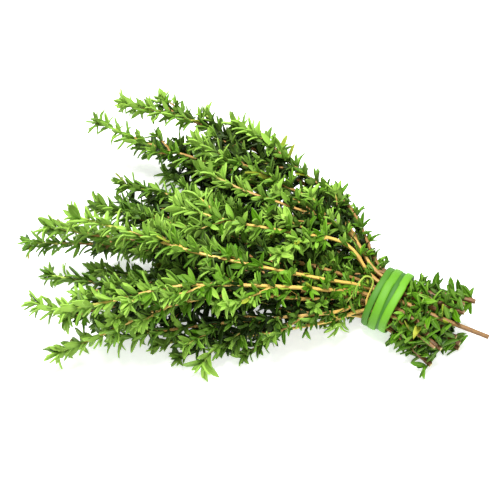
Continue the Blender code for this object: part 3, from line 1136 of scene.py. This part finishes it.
class Shoot:
    """A stem on its route: the main stem of a sprig or one of its side branches."""

    def __init__(self, route: Array, wide: Pair) -> None:
        """Works out lengths and frames along the route.

        Args:
            route: Places from the foot to the tip.
            wide: Width of the stem at its foot and its tip.
        """
        self.route = route
        self.wide = wide
        self.run = run_along(route)
        self.length = float(self.run[-1])
        self.joints: list[float] = []
        tangents = np.gradient(route, axis=0)
        tangents /= np.linalg.norm(tangents, axis=1)[:, None]
        side = np.cross(tangents[0], [0.0, 0.0, 1.0])
        frames = []
        for tangent in tangents:
            side = unit(side - tangent * (side @ tangent))
            frames.append((tangent, side, np.cross(tangent, side)))
        self.frames = np.array(frames)

    def at(self, lengths: Array) -> tuple[Array, Array]:
        """Places and frames at lengths along the stem.

        Args:
            lengths: The lengths, from its foot.

        Returns:
            The places, and for each its direction along the stem and two across it.
        """
        index = np.interp(lengths, self.run, np.arange(len(self.run)))
        low = np.floor(index).astype(int).clip(0, len(self.run) - 2)
        share = (index - low)[..., None, None]
        frames = self.frames[low] * (1 - share) + self.frames[low + 1] * share
        frames = frames / np.linalg.norm(frames, axis=-1, keepdims=True)
        return places_at(lengths, self.run, self.route), frames

    def width(self, at: Array) -> Array:
        """Width of the stem at a length along it."""
        return np.interp(at, (0.0, self.length), self.wide)


class Sprig:
    """One sprig of thyme: its stem and side branches, the leaves on them, and the finished mesh."""

    def __init__(
        self, name: str, route: Array, look: SprigLook, band: BandSizes, sizes: SprigSizes, rng: random.Random
    ) -> None:
        """Takes the route and finds where the band holds it.

        Args:
            name: Node that this sprig stands for.
            route: Places from the cut end to the tip.
            look: What sets it apart from the others.
            band: The band that holds it.
            sizes: Sizes that all sprigs share.
            rng: Source of its irregularities.
        """
        self.name = name
        self.band = band
        self.sizes = sizes
        self.rng = rng
        self.look = look
        whole = Shoot(route, sizes.stem_wide)
        ends = np.linspace(0.0, whole.length - sizes.tip_trim, len(route))
        self.main = Shoot(whole.at(ends)[0], tuple(look.slim * wide for wide in sizes.stem_wide))
        self.held = float(np.interp(0.0, -((self.main.route - band.middle) @ band.axes[0]), self.main.run))
        self.branches: list[Shoot] = []
        self.leaves: list[Leaf] = []

    def _out(self, share: float, three: Three) -> float:
        """A size part of the way from the band to the tip, given at the stations."""
        return float(np.interp(share, self.sizes.stations, three))

    @staticmethod
    def _lean(along: Array, outward: Array, degrees: float) -> Array:
        """A direction leaning outwards from another by an angle."""
        return along * math.cos(math.radians(degrees)) + outward * math.sin(math.radians(degrees))

    @staticmethod
    def _around(first: Array, second: Array, turn: float) -> Array:
        """A direction turned from one across a stem towards the other across it."""
        return first * math.cos(turn) + second * math.sin(turn)

    def _set_joints(self) -> None:
        """Sets the joints of the main stem, closer together towards the tip."""
        sizes, rng, main = self.sizes, self.rng, self.main
        at = sizes.long_tail_bare if self.held > sizes.long_tail else rng.uniform(*sizes.tail_first_joint)
        while at < self.held - sizes.tail_bare:
            main.joints.append(at)
            at += sizes.tail_joint_step * rng.uniform(*sizes.tail_step_spread)
        start = self.held + sizes.held_bare + self.look.bare + rng.uniform(*sizes.first_joint)
        at = start
        while at < main.length - sizes.last_joint:
            main.joints.append(at)
            share = (at - start) / (main.length - start)
            at += self._out(share, sizes.joint_step) * self.look.spacing * rng.uniform(*sizes.step_spread)

    def _branch_route(self) -> Array:
        """Route of one side branch: it leans out, curves after its stem and stays between floor and top."""
        sizes, rng, main = self.sizes, self.rng, self.main
        share = rng.uniform(self.look.branch_from, sizes.branch_until)
        foot = self.held + share * (main.length - self.held)
        place, frame = main.at(np.array(foot))
        turn = rng.choice((0.0, math.pi)) + rng.uniform(*sizes.branch_turn)
        outward = self._around(frame[1], frame[2], turn)
        full, less = sizes.branch_taper
        length = rng.uniform(*sizes.branch_length) * (full - less * share)
        start = self._lean(frame[0], outward, rng.uniform(*sizes.branch_angle))
        steps = np.linspace(0.0, length, sizes.branch_points)[:, None]
        stray = [rng.gauss(0.0, sizes.branch_stray), rng.gauss(0.0, sizes.branch_stray), sizes.branch_lift]
        bend = frame[0] * sizes.branch_follow + np.array(stray)
        route = place + start * steps + bend * steps**2 / length
        least, climb = sizes.branch_floor
        route[:, 2] = np.maximum(route[:, 2], least + climb * steps[:, 0])
        ahead = main.at(np.array(min(main.length, foot + length)))[0]
        highest = min(float(ahead[2]) + sizes.branch_rise, max(sizes.branch_top, float(place[2])))
        over = max(0.0, float(route[-1, 2]) - highest)
        route[:, 2] -= over * (steps[:, 0] / length) ** sizes.branch_droop
        return route

    def _branch(self) -> None:
        """Adds the side branches, each a short curved shoot with its own joints."""
        sizes, rng = self.sizes, self.rng
        if self.main.length - self.held < sizes.branch_reach:
            return
        for _ in range(rng.randint(*self.look.branches)):
            shoot = Shoot(self._branch_route(), sizes.branch_wide)
            at = sizes.branch_first_joint
            while at < shoot.length - sizes.branch_last_joint:
                shoot.joints.append(at)
                at += self._out(at / shoot.length, sizes.branch_step) * rng.uniform(*sizes.step_spread)
            self.branches.append(shoot)

    def grow(self) -> None:
        """Grows the branches and all the leaves."""
        self._set_joints()
        self._branch()
        self._dress(self.main, self.held, self.look.leaf)
        for branch in self.branches:
            foot = -self.sizes.branch_foot * branch.length
            self._dress(branch, foot, self.look.leaf * self.sizes.branch_leaf)

    def _dress(self, shoot: Shoot, held: float, scale: float) -> None:
        """Sets a pair of leaves at every joint, a tuft in each of their axils, and a crown at the tip.

        Args:
            shoot: The stem that is dressed.
            held: Length along it from which its share towards the tip is counted.
            scale: Size of its leaves against those of a main stem.
        """
        sizes, rng = self.sizes, self.rng
        turn = rng.uniform(0.0, math.pi)
        for at in shoot.joints:
            share = max(0.0, (at - held) / (shoot.length - held))
            tail = at < held
            turn += math.pi / 2 + rng.uniform(-sizes.turn_spread, sizes.turn_spread)
            place, frame = shoot.at(np.array(at))
            for side in (turn, turn + math.pi):
                outward = self._around(frame[1], frame[2], side)
                root = place + outward * sizes.leaf_foot * shoot.width(at)
                length = self._out(share, sizes.pair_length) * rng.uniform(*sizes.pair_length_spread) * scale
                angle = rng.uniform(-sizes.pair_angle_spread, sizes.pair_angle_spread)
                angle += self._out(share, sizes.pair_angle)
                if tail:
                    angle = rng.uniform(*sizes.tail_angle)
                    length *= sizes.tail_length / sizes.pair_length[0]
                axis = self._lean(frame[0], outward, angle)
                self._leaf(LeafKind.PAIRED, root, axis, frame[0], length, share, tail)
                bud = self._lean(frame[0], outward, angle * rng.uniform(*sizes.bud_lean))
                leafy = self.look.tufts * (sizes.tail_tufts if tail else 1.0)
                count = int(self._out(share, sizes.tuft_leaves) * leafy * scale**2 + rng.random())
                self._tuft(LeafKind.AXIL, root, bud, count, length, share, tail)
        tip, frame = shoot.at(np.array(shoot.length - sizes.crown_foot))
        crown = sizes.pair_length[2] * scale * (self.look.crown if shoot is self.main else 1.0)
        self._tuft(LeafKind.CROWN, tip, frame[0], self.look.crown_leaves, crown, 1.0, False)

    def _tuft(
        self, kind: LeafKind, root: Array, bud: Array, count: int, length: float, share: float, tail: bool
    ) -> None:
        """Adds the leaves of a bud or of the tip of a shoot.

        Args:
            kind: What the leaves are on their stem.
            root: Where the bud starts.
            bud: Direction of the bud.
            count: How many leaves it has.
            length: Length of the leaf in whose axil it stands.
            share: How far out on the sprig it is.
            tail: Whether it is on the cut end's side of the band.
        """
        rng, sizes = self.rng, self.sizes
        side = unit(np.cross(bud, sizes.tuft_up))
        over = np.cross(bud, side)
        turn = rng.uniform(0.0, TURN)
        for number in range(count):
            turn += sizes.tuft_turn + rng.uniform(-sizes.tuft_turn_spread, sizes.tuft_turn_spread)
            outward = self._around(side, over, turn)
            if kind is LeafKind.CROWN:
                inner, more = sizes.crown_angle
                angle = inner + more * (1.0 - number / count)
                angle += rng.uniform(-sizes.crown_angle_spread, sizes.crown_angle_spread)
                reach = 0.0
                size = length * rng.uniform(*sizes.crown_share) * (1.0 - sizes.crown_taper * number / count)
            else:
                angle = rng.uniform(*sizes.tuft_angle)
                reach = sizes.tuft_stalk * rng.random()
                size = length * rng.uniform(*sizes.tuft_share)
            axis = self._lean(bud, outward, angle)
            self._leaf(kind, root + bud * reach, axis, bud, size, share, tail)

    def _leaf(
        self, kind: LeafKind, root: Array, axis: Array, shoot: Array, length: float, share: float, tail: bool
    ) -> None:
        """Adds one leaf, turned up to the light and bent clear of the floor and the band.

        Args:
            kind: What the leaf is on its stem.
            root: Where it grows from.
            axis: Direction that it grows in.
            shoot: Direction of the stem that carries it.
            length: Its length.
            share: How far out on the sprig it is, from 0 at the band to 1 at the tip.
            tail: Whether it is on the cut end's side of the band.
        """
        rng, sizes = self.rng, self.sizes
        axis = self._clear(root, unit(axis), length)
        face = shoot - axis * (axis @ shoot)
        face /= max(np.linalg.norm(face), sizes.least_face)
        lean = [rng.gauss(0.0, sizes.face_spread), rng.gauss(0.0, sizes.face_spread), sizes.sky_lean]
        face = face + np.array(lean)
        face = unit(face - axis * (axis @ face))
        width = sizes.tail_width if tail else self._out(share, sizes.leaf_width)
        width *= rng.uniform(*sizes.leaf_width_spread)
        width *= self.look.broad
        youth = max(0.0, share - sizes.youth_from) / (1.0 - sizes.youth_from) * self.look.fresh
        if kind is LeafKind.AXIL:
            youth += sizes.axil_youth
        if tail:
            youth += sizes.tail_youth
        youth += rng.gauss(0.0, sizes.youth_spread)
        tint = rng.gauss(self.look.tint + sizes.tip_tint * share, sizes.tint_spread)
        yellow = rng.uniform(*sizes.yellow) if rng.random() < sizes.yellow_share else 0.0
        curl = rng.gauss(*sizes.curl)
        self.leaves.append(Leaf(root, axis, face, length, width, curl, clamp(tint), clamp(youth), yellow))

    def _clear(self, root: Array, axis: Array, length: float) -> Array:
        """Turns a leaf's direction so that its tip stays over the floor and beside the band.

        Args:
            root: Where the leaf grows from.
            axis: Direction that it would grow in.
            length: Its length.

        Returns:
            The direction that it takes.
        """
        sizes = self.sizes
        along, _, up = self.band.axes
        past = (root - self.band.middle) @ along
        away = along if past > 0.0 else -along
        for way, needed in ((up, sizes.tip_gap - root @ up), (away, sizes.band_gap - abs(past))):
            if (axis @ way) * length < needed:
                share = clamp(needed / length, -sizes.steepest, sizes.steepest)
                level = axis - way * (axis @ way)
                level /= max(np.linalg.norm(level), TINY)
                axis = way * share + level * math.sqrt(1.0 - share**2)
        return axis

    def _stem_places(self, shoot: Shoot, master: Master) -> tuple[Array, Array, Array]:
        """Places of a stem's vertices with their two colouring marks.

        Args:
            shoot: The stem.
            master: The master that is bent to it.

        Returns:
            The places, the blade marks and the growth marks.
        """
        sizes = self.sizes
        lengths = master.places[:, 2] * shoot.length
        places, frames = shoot.at(lengths)
        near = np.min(np.abs(lengths[:, None] - np.array(shoot.joints)[None, :]), axis=1)
        jointed = np.exp(-((near / sizes.joint_reach) ** 2))
        wide = shoot.width(lengths) * (1.0 + sizes.joint_swell * jointed)
        x, y = master.places[:, 0], master.places[:, 1]
        square = 0.5 / np.maximum(np.abs(x), np.abs(y))
        squared = 0.5 * (sizes.rounded + (1.0 - sizes.rounded) * square)
        reach = squared / np.maximum(np.hypot(x, y), TINY)
        offset = frames[:, 1] * (x * reach * wide)[:, None] + frames[:, 2] * (y * reach * wide)[:, None]
        first = 0.0 if shoot is self.main else sizes.branch_age
        run = first + (1.0 - first) * master.marks[:, 0]
        blade = np.stack([run, master.marks[:, 1], np.zeros(len(x)), np.ones(len(x))], axis=1)
        shade, green = np.full(len(x), self.look.bark), np.full(len(x), self.look.green)
        growth = np.stack([shade, jointed, green, np.ones(len(x))], axis=1)
        return places + offset, blade, growth

    def _each(self, *names: str) -> Array:
        """What each leaf says under some names, one leaf to a row."""
        return np.array([[getattr(leaf, name) for name in names] for leaf in self.leaves])

    def _leaf_places(self, master: Master) -> tuple[Array, Array, Array]:
        """Places of all the leaves' vertices with their two colouring marks.

        Args:
            master: The leaf's master.

        Returns:
            The places, the blade marks and the growth marks.
        """
        x, y, z = master.places.T
        count, size = len(self.leaves), len(x)
        root, axis, face = self._each("root", "axis", "face").transpose(1, 0, 2)[:, :, None, :]
        length, width, curl = self._each("length", "width", "curl").T[:, :, None]
        across = np.cross(face, axis)
        fixed, broad = self.sizes.plump
        out = length * (x - 0.25 * curl**2 * x**2)
        rise = length * (z * (fixed + broad * width) + curl * x**2)
        aside = length * width * y
        places = root + axis * out[..., None] + face * rise[..., None] + across * aside[..., None]
        upper = (master.marks[:, 2] < 0.5) == (face[..., 2] > 0.0)
        lowest = self.sizes.floor_gap + np.where(upper, master.thick * length, 0.0)
        places[..., 2] = np.maximum(places[..., 2], lowest)
        marks = np.broadcast_to(master.marks, (count, size, 3))
        blade = np.concatenate([marks, np.ones((count, size, 1))], axis=2)
        # The depth goes with the growth marks and sets each leaf's painted shade
        growth = self._each("tint", "youth", "yellow", "depth")[:, None, :]
        growth = np.broadcast_to(growth, (count, size, 4))
        return places.reshape(-1, 3), blade.reshape(-1, 4), growth.reshape(-1, 4)

    def build(
        self, leaf: Master, stem: Master, twig: Master, finishes: Sequence[Material], sheet: Sheet = Sheet()
    ) -> Object:
        """Joins the stems and the leaves into one piece.

        Args:
            leaf: The leaf's master.
            stem: The main stem's master.
            twig: The side branches' master.
            finishes: Materials of the leaves, the stems and their cut ends.
            sheet: How the bake sheet is filled.

        Returns:
            The finished piece.
        """
        heap = Heap(self.name)
        strip = (1.0 - sheet.leaves) / (1 + len(self.branches))
        for number, shoot in enumerate([self.main] + self.branches):
            master = twig if number else stem
            slots = [Slot.CUT if len(face) > WALL_CORNERS else Slot.BARK for face in master.faces]
            corner = (sheet.strip_start, sheet.leaves + strip * number)
            filled = (sheet.strip_run, sheet.strip_filled * strip)
            heap.add(master, *self._stem_places(shoot, master), [corner], filled, slots)
        cells = math.ceil(math.sqrt(len(self.leaves)))
        cell = sheet.leaves / cells
        corners = [(n % cells / cells, cell * (n // cells)) for n in range(len(self.leaves))]
        filled = (sheet.leaf_filled / cells, sheet.leaf_filled * cell)
        heap.add(leaf, *self._leaf_places(leaf), corners, filled, [Slot.LEAF] * len(leaf.faces))
        return heap.piece(finishes)


def find_depths(
    sprigs: Sequence[Sprig], reach: float = 9.0 * MM, crowd: float = 150.0, edge: float = 2.4
) -> None:
    """Notes how deep each leaf sits among the others, which the leaf finish turns into painted shade.

    Args:
        sprigs: All the sprigs, with their leaves.
        reach: How far around a leaf its neighbours count.
        crowd: Number of neighbours that hides a leaf fully.
        edge: How quickly a leaf counts as open when its neighbours lie to one side of it.
    """
    leaves = [leaf for sprig in sprigs for leaf in sprig.leaves]
    middles = np.array([leaf.middle for leaf in leaves])
    tree = KDTree(len(leaves))
    for index, middle in enumerate(middles):
        tree.insert(middle, index)
    tree.balance()
    for middle, leaf in zip(middles, leaves):
        near = np.array([found[1] for found in tree.find_range(middle, reach)])
        offset = (middles[near] - middle).mean(axis=0)
        enclosed = max(0.0, 1.0 - edge * float(np.linalg.norm(offset)) / reach)
        leaf.depth = enclosed * min(1.0, len(near) / crowd)


class Heap:
    """Copies of masters, gathered into one mesh."""

    def __init__(self, name: str) -> None:
        """Starts empty, with the name of the node that the mesh will stand for."""
        self.name = name
        self.count = 0
        self.places: list[Array] = []
        self.blade: list[Array] = []
        self.growth: list[Array] = []
        self.corners: list[Array] = []
        self.totals: list[Array] = []
        self.slots: list[Array] = []
        self.uv: list[Array] = []

    def add(
        self,
        master: Master,
        places: Array,
        blade: Array,
        growth: Array,
        corners: Sequence[Pair],
        scale: Pair,
        slots: Sequence[int],
    ) -> None:
        """Adds copies of one master.

        Args:
            master: The shape that is copied.
            places: Places of all the copies' vertices.
            blade: Their first colouring marks.
            growth: Their second colouring marks.
            corners: Lower corner of each copy's spot on the bake sheet.
            scale: Size of each spot.
            slots: Material slot of each of the master's faces.
        """
        size = len(master.places)
        flat = np.array([index for face in master.faces for index in face])
        spot = np.array(master.corner_uv) * scale
        shift = self.count + size * np.arange(len(corners))
        self.corners.append((flat[None, :] + shift[:, None]).ravel())
        self.totals.append(np.tile([len(face) for face in master.faces], len(corners)))
        self.slots.append(np.tile(slots, len(corners)))
        self.uv.append((spot[None] + np.array(corners)[:, None, :]).reshape(-1, 2))
        self.places.append(places)
        self.blade.append(blade)
        self.growth.append(growth)
        self.count += len(places)

    def piece(self, finishes: Sequence[Material]) -> Object:
        """Makes the object.

        Args:
            finishes: Materials, in the order of the slots.

        Returns:
            The finished piece.
        """
        mesh = bpy.data.meshes.new(self.name + "_live")
        corners = np.concatenate(self.corners)
        totals = np.concatenate(self.totals)
        mesh.vertices.add(self.count)
        mesh.vertices.foreach_set("co", np.concatenate(self.places).astype(np.float32).ravel())
        mesh.loops.add(len(corners))
        mesh.loops.foreach_set("vertex_index", corners.astype(np.int32))
        mesh.polygons.add(len(totals))
        mesh.polygons.foreach_set("loop_start", (np.cumsum(totals) - totals).astype(np.int32))
        mesh.polygons.foreach_set("material_index", np.concatenate(self.slots).astype(np.int32))
        mesh.update(calc_edges=True)
        marks = {"blade": np.concatenate(self.blade), "growth": np.concatenate(self.growth)}
        finish_mesh(mesh, np.concatenate(self.uv), marks, finishes)
        mesh.set_sharp_from_angle(angle=SHARP)
        mesh.validate()
        return put_in_scene(self.name + "_live", mesh)


# ----------------------------------------------------------------------------------------------------------
# The band


@dataclass(frozen=True)
class Strand:
    """One turn of the band: place along the bunch, width, height over the stems, painted light and shade of
    its green, rise.
    """

    place: float
    wide: float
    lift: float
    shade: float
    rise: float


@dataclass(frozen=True)
class TieBand:
    """The elastic strip, wound round the stems and closed by a crossing at the back.

    Attributes:
        sizes: The winding that it follows.
        steps: Steps to a turn.
        section: Corners of its section.
        thick: Thickness of the strip.
        edges: How full its section is across and through; 1 is an oval, less is nearer to a box.
        strands: Its turns.
        travel: Share of the crossing where the strip starts to move over, and how much of it that takes.
        climb: How quickly the strip rises over the others at the crossing.
        sway: How far a turn wanders along the bunch.
        sway_turns: How often it does so in a turn, and how that shifts from one turn to the next.
        lean: How far all the turns lean along the bunch.
        lean_from: Where they lean furthest.
        floor_thick: Thickness left under the lowest stems.
        sheet_run: Start and length of a turn's row on the bake sheet.
        sheet_row: Start and height of what a turn fills of its row.
    """

    sizes: BandSizes = field(default_factory=BandSizes)
    steps: int = 72
    section: int = 14
    thick: float = 1.3 * MM
    edges: Pair = (0.7, 0.85)
    strands: tuple[Strand, ...] = (
        # The fourth value of each turn is painted light and shade: the half-hidden third turn darkest, the
        # fourth lightest
        Strand(-4.5 * MM, 3.1 * MM, 0.1 * MM, 0.3, 0.0 * MM),
        Strand(-1.0 * MM, 3.8 * MM, 0.5 * MM, 0.7, 0.3 * MM),
        Strand(1.8 * MM, 2.8 * MM, -0.2 * MM, 0.0, 0.9 * MM),
        Strand(4.3 * MM, 3.5 * MM, 0.3 * MM, 1.0, 1.4 * MM),
    )
    travel: Pair = (0.25, 0.5)
    climb: float = 4.0
    sway: float = 0.3 * MM
    sway_turns: Pair = (2.0, 1.7)
    lean: float = 1.8 * MM
    lean_from: float = math.radians(125.0)
    floor_thick: float = 0.8 * MM
    sheet_run: Pair = (0.01, 0.98)
    sheet_row: Pair = (0.05, 0.9)

    def _step(self, step: int) -> tuple[float, Strand]:
        """One step of the loop.

        Args:
            step: Its number.

        Returns:
            Its turn round the bunch, and how the strip lies there.
        """
        sizes = self.sizes
        wind, part = divmod(step, self.steps)
        angle = sizes.start + TURN * part / self.steps
        low, high = sizes.crossing
        share = clamp((angle - low) / (high - low))
        last = wind == sizes.winds - 1
        travel = clamp((share - self.travel[0]) / self.travel[1])
        eased = travel * travel * (3.0 - 2.0 * travel)
        here, there = self.strands[wind], self.strands[0 if last else wind + 1]
        over = sizes.lift * min(1.0, self.climb * min(share, 1.0 - share)) if last else 0.0
        often, shift = self.sway_turns
        bow = self.sway * math.sin(angle * often + shift * wind) * (1.0 - eased)
        bow += self.lean * math.cos(angle - self.lean_from)
        mixed = Strand(*(a + (b - a) * eased for a, b in zip(astuple(here), astuple(there))))
        return angle, replace(mixed, place=mixed.place + bow, lift=mixed.lift + over)

    def _section(self) -> list[Pair]:
        """Outline of the strip: shares across its width and through its thickness, with round edges."""
        outline = []
        for corner in range(self.section):
            angle = TURN * (corner + 0.5) / self.section
            wide = math.copysign(abs(math.cos(angle)) ** self.edges[0], math.cos(angle))
            deep = math.copysign(abs(math.sin(angle)) ** self.edges[1], math.sin(angle))
            outline.append((0.5 * wide, 0.5 + 0.5 * deep))
        return outline

    def _surface(self, count: int) -> tuple[list[Array], list[Colour]]:
        """Places of the strip's vertices with their colouring marks.

        Args:
            count: Number of steps in the loop.

        Returns:
            The places and the blade marks.
        """
        sizes = self.sizes
        along, across, up = sizes.axes
        outline = self._section()
        places, marks = [], []
        for step in range(count):
            angle, strand = self._step(step)
            for wide, deep in outline:
                out = deep * self.thick
                aside = (sizes.inside[0] + out + strand.lift) * math.cos(angle)
                rise = (sizes.inside[1] + out + strand.lift) * math.sin(angle) + strand.rise
                rise = max(rise, deep * self.floor_thick - sizes.height)
                shift = strand.place + wide * strand.wide
                places.append(sizes.middle + along * shift + across * aside + up * rise)
                # The turn's painted light and shade goes into the third blade mark
                marks.append((step / count, wide + 0.5, strand.shade, 1.0))
        return places, marks

    def _faces(self, count: int) -> tuple[list[list[int]], list[Pair]]:
        """Faces of the strip with the spots of their corners on the bake sheet.

        Args:
            count: Number of steps in the loop.

        Returns:
            The faces and the spots.
        """
        left, run = self.sheet_run
        low, tall = self.sheet_row
        faces, uv = [], []
        for step in range(count):
            wind, part = divmod(step, self.steps)
            first, after = step * self.section, (step + 1) % count * self.section
            for number in range(self.section):
                beside = (number + 1) % self.section
                faces.append([first + number, first + beside, after + beside, after + number])
                for a, b in ((0, 0), (0, 1), (1, 1), (1, 0)):
                    v = (wind + low + tall * (number + b) / self.section) / self.sizes.winds
                    uv.append((left + run * ((part + a) / self.steps), v))
        return faces, uv

    def build(self, finish: Material) -> Object:
        """Models the band.

        Args:
            finish: Its material.

        Returns:
            The finished piece.
        """
        count = self.sizes.winds * self.steps
        places, marks = self._surface(count)
        faces, uv = self._faces(count)
        mesh = bpy.data.meshes.new("tie_band_live")
        mesh.from_pydata(places, [], faces)
        finish_mesh(mesh, np.array(uv), {"blade": np.array(marks)}, [finish])
        piece = put_in_scene("tie_band_live", mesh)
        deselect_all()
        piece.select_set(True)
        bpy.context.view_layer.objects.active = piece
        bpy.ops.object.mode_set(mode="EDIT")
        bpy.ops.mesh.select_all(action="SELECT")
        bpy.ops.mesh.normals_make_consistent(inside=False)
        bpy.ops.object.mode_set(mode="OBJECT")
        return piece


# ----------------------------------------------------------------------------------------------------------
# The studio


@dataclass(frozen=True)
class Lamp:
    """A square lamp that shines at the bunch: its name, place, side and power."""

    name: str
    place: Three
    size: float
    power: float


@dataclass(frozen=True)
class Studio:
    """White floor, soft light from above and behind, and the camera."""

    azimuth: float = math.radians(12.0)
    elevation: float = math.radians(50.0)
    lens: float = 100.0
    sensor: float = 36.0
    clip_start: float = 10.0 * MM
    frame_width: float = 215.0 * MM
    aim: Three = (-59.3 * MM, 20.2 * MM, 14.0 * MM)
    white: Colour = (1.0, 1.0, 1.0, 1.0)
    floor_size: float = 6.0
    floor_paint: Colour = (0.93, 0.93, 0.93, 1.0)
    floor_rough: float = 0.9
    floor_gloss: float = 0.1
    floor_glow: float = 0.56
    surround: float = 0.3
    lamps: tuple[Lamp, ...] = (
        Lamp("key", (-0.08, 0.1, 1.0), 0.42, 17.8),
        Lamp("fill", (0.3, -0.7, 0.7), 0.7, 3.0),
    )

    def camera(self, band: BandSizes) -> None:
        """Places the camera so that the bunch fills the frame as it should.

        Args:
            band: The band, from whose foot the aim is counted.
        """
        right = Vector((math.cos(self.azimuth), math.sin(self.azimuth), 0.0))
        forward = Vector((-math.sin(self.azimuth), math.cos(self.azimuth), 0.0))
        view_up = forward * math.sin(self.elevation) + Vector((0.0, 0.0, math.cos(self.elevation)))
        back = Vector((0.0, 0.0, math.sin(self.elevation))) - forward * math.cos(self.elevation)
        target = Vector((*band.at, self.aim[2])) + right * self.aim[0] + view_up * self.aim[1]
        data = bpy.data.cameras.new("camera")
        data.lens = self.lens
        data.sensor_width = self.sensor
        data.clip_start = self.clip_start
        camera = put_in_scene("camera", data)
        camera.location = target + back * (self.frame_width * self.lens / self.sensor)
        camera.rotation_euler = (-back).to_track_quat("-Z", "Y").to_euler()
        bpy.context.scene.camera = camera

    def floor(self) -> None:
        """Lays the pale floor."""
        deselect_all()
        bpy.ops.mesh.primitive_plane_add(size=self.floor_size)
        floor = bpy.context.object
        floor.name = "floor"
        shader = Shader("floor")
        shader.surface.inputs["Emission Strength"].default_value = self.floor_glow
        paint = shader.finish(
            self.floor_paint, self.floor_rough, Specular_IOR_Level=self.floor_gloss, Emission_Color=self.white
        )
        floor.data.materials.append(paint)

    def light(self) -> None:
        """Hangs the lamps and sets the surrounding light."""
        world = bpy.data.worlds.new("studio")
        world.use_nodes = True
        around = world.node_tree.nodes["Background"].inputs
        around["Color"].default_value = self.white
        around["Strength"].default_value = self.surround
        bpy.context.scene.world = world
        for lamp in self.lamps:
            data = bpy.data.lights.new(lamp.name, "AREA")
            data.size = lamp.size
            data.energy = lamp.power
            hung = put_in_scene(lamp.name, data)
            hung.location = lamp.place
            hung.rotation_euler = (-Vector(lamp.place)).to_track_quat("-Z", "Y").to_euler()
        bpy.context.scene.view_settings.view_transform = "Standard"

    def set_up(self, band: BandSizes) -> None:
        """Makes the whole studio."""
        self.floor()
        self.light()
        self.camera(band)


def sprig_looks(count: int) -> list[SprigLook]:
    """Looks of all the sprigs, in the order of their routes.

    Args:
        count: Number of sprigs.

    Returns:
        The leading ones' looks, with the fillers' before the thin bent shoot.
    """
    shades = random.Random(FILLER_SEED)
    fillers = [
        replace(FILLER_LOOK, tint=shades.uniform(*FILLER_SHADED_TINT), bark=shades.uniform(*FILLER_BARK))
        for _ in range(count - len(LEADING_LOOKS))
    ]
    return [*LEADING_LOOKS[:-1], LOWEST_FILLER_LOOK, *fillers[1:], LEADING_LOOKS[-1]]


def main() -> None:
    """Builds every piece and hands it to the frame."""
    logging.basicConfig(level=logging.INFO)
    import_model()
    band = BandSizes()
    bunch = BunchRoutes(band)
    routes = bunch.settled()
    routes[-1] = bunch.arched(routes[-1])
    leaf = LeafMould().model()
    stem = StemMould().model()
    twig = StemMould(sides=6, rings=14).model()
    finishes = [LeafFinish().build(), StemFinish().build(), CutFinish().build()]
    sizes = SprigSizes()
    sprigs = []
    for index, (route, look) in enumerate(zip(routes, sprig_looks(len(routes)))):
        rng = random.Random(SPRIG_SEED + index)
        sprig = Sprig(f"sprig_{index + 1:02d}", route, look, band, sizes, rng)
        sprig.grow()
        sprigs.append(sprig)
    find_depths(sprigs)
    for sprig in sprigs:
        piece = sprig.build(leaf, stem, twig, finishes)
        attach(piece, "root")
        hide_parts(sprig.name)
        LOG.info("%s: %d leaves, %d faces", sprig.name, len(sprig.leaves), len(piece.data.polygons))
    tie = TieBand(band).build(BandFinish().build())
    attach(tie, "root")
    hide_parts("tie_band")
    LOG.info("tie_band: %d faces", len(tie.data.polygons))
    Studio().set_up(band)
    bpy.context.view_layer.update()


if __name__ == "__main__":
    main()
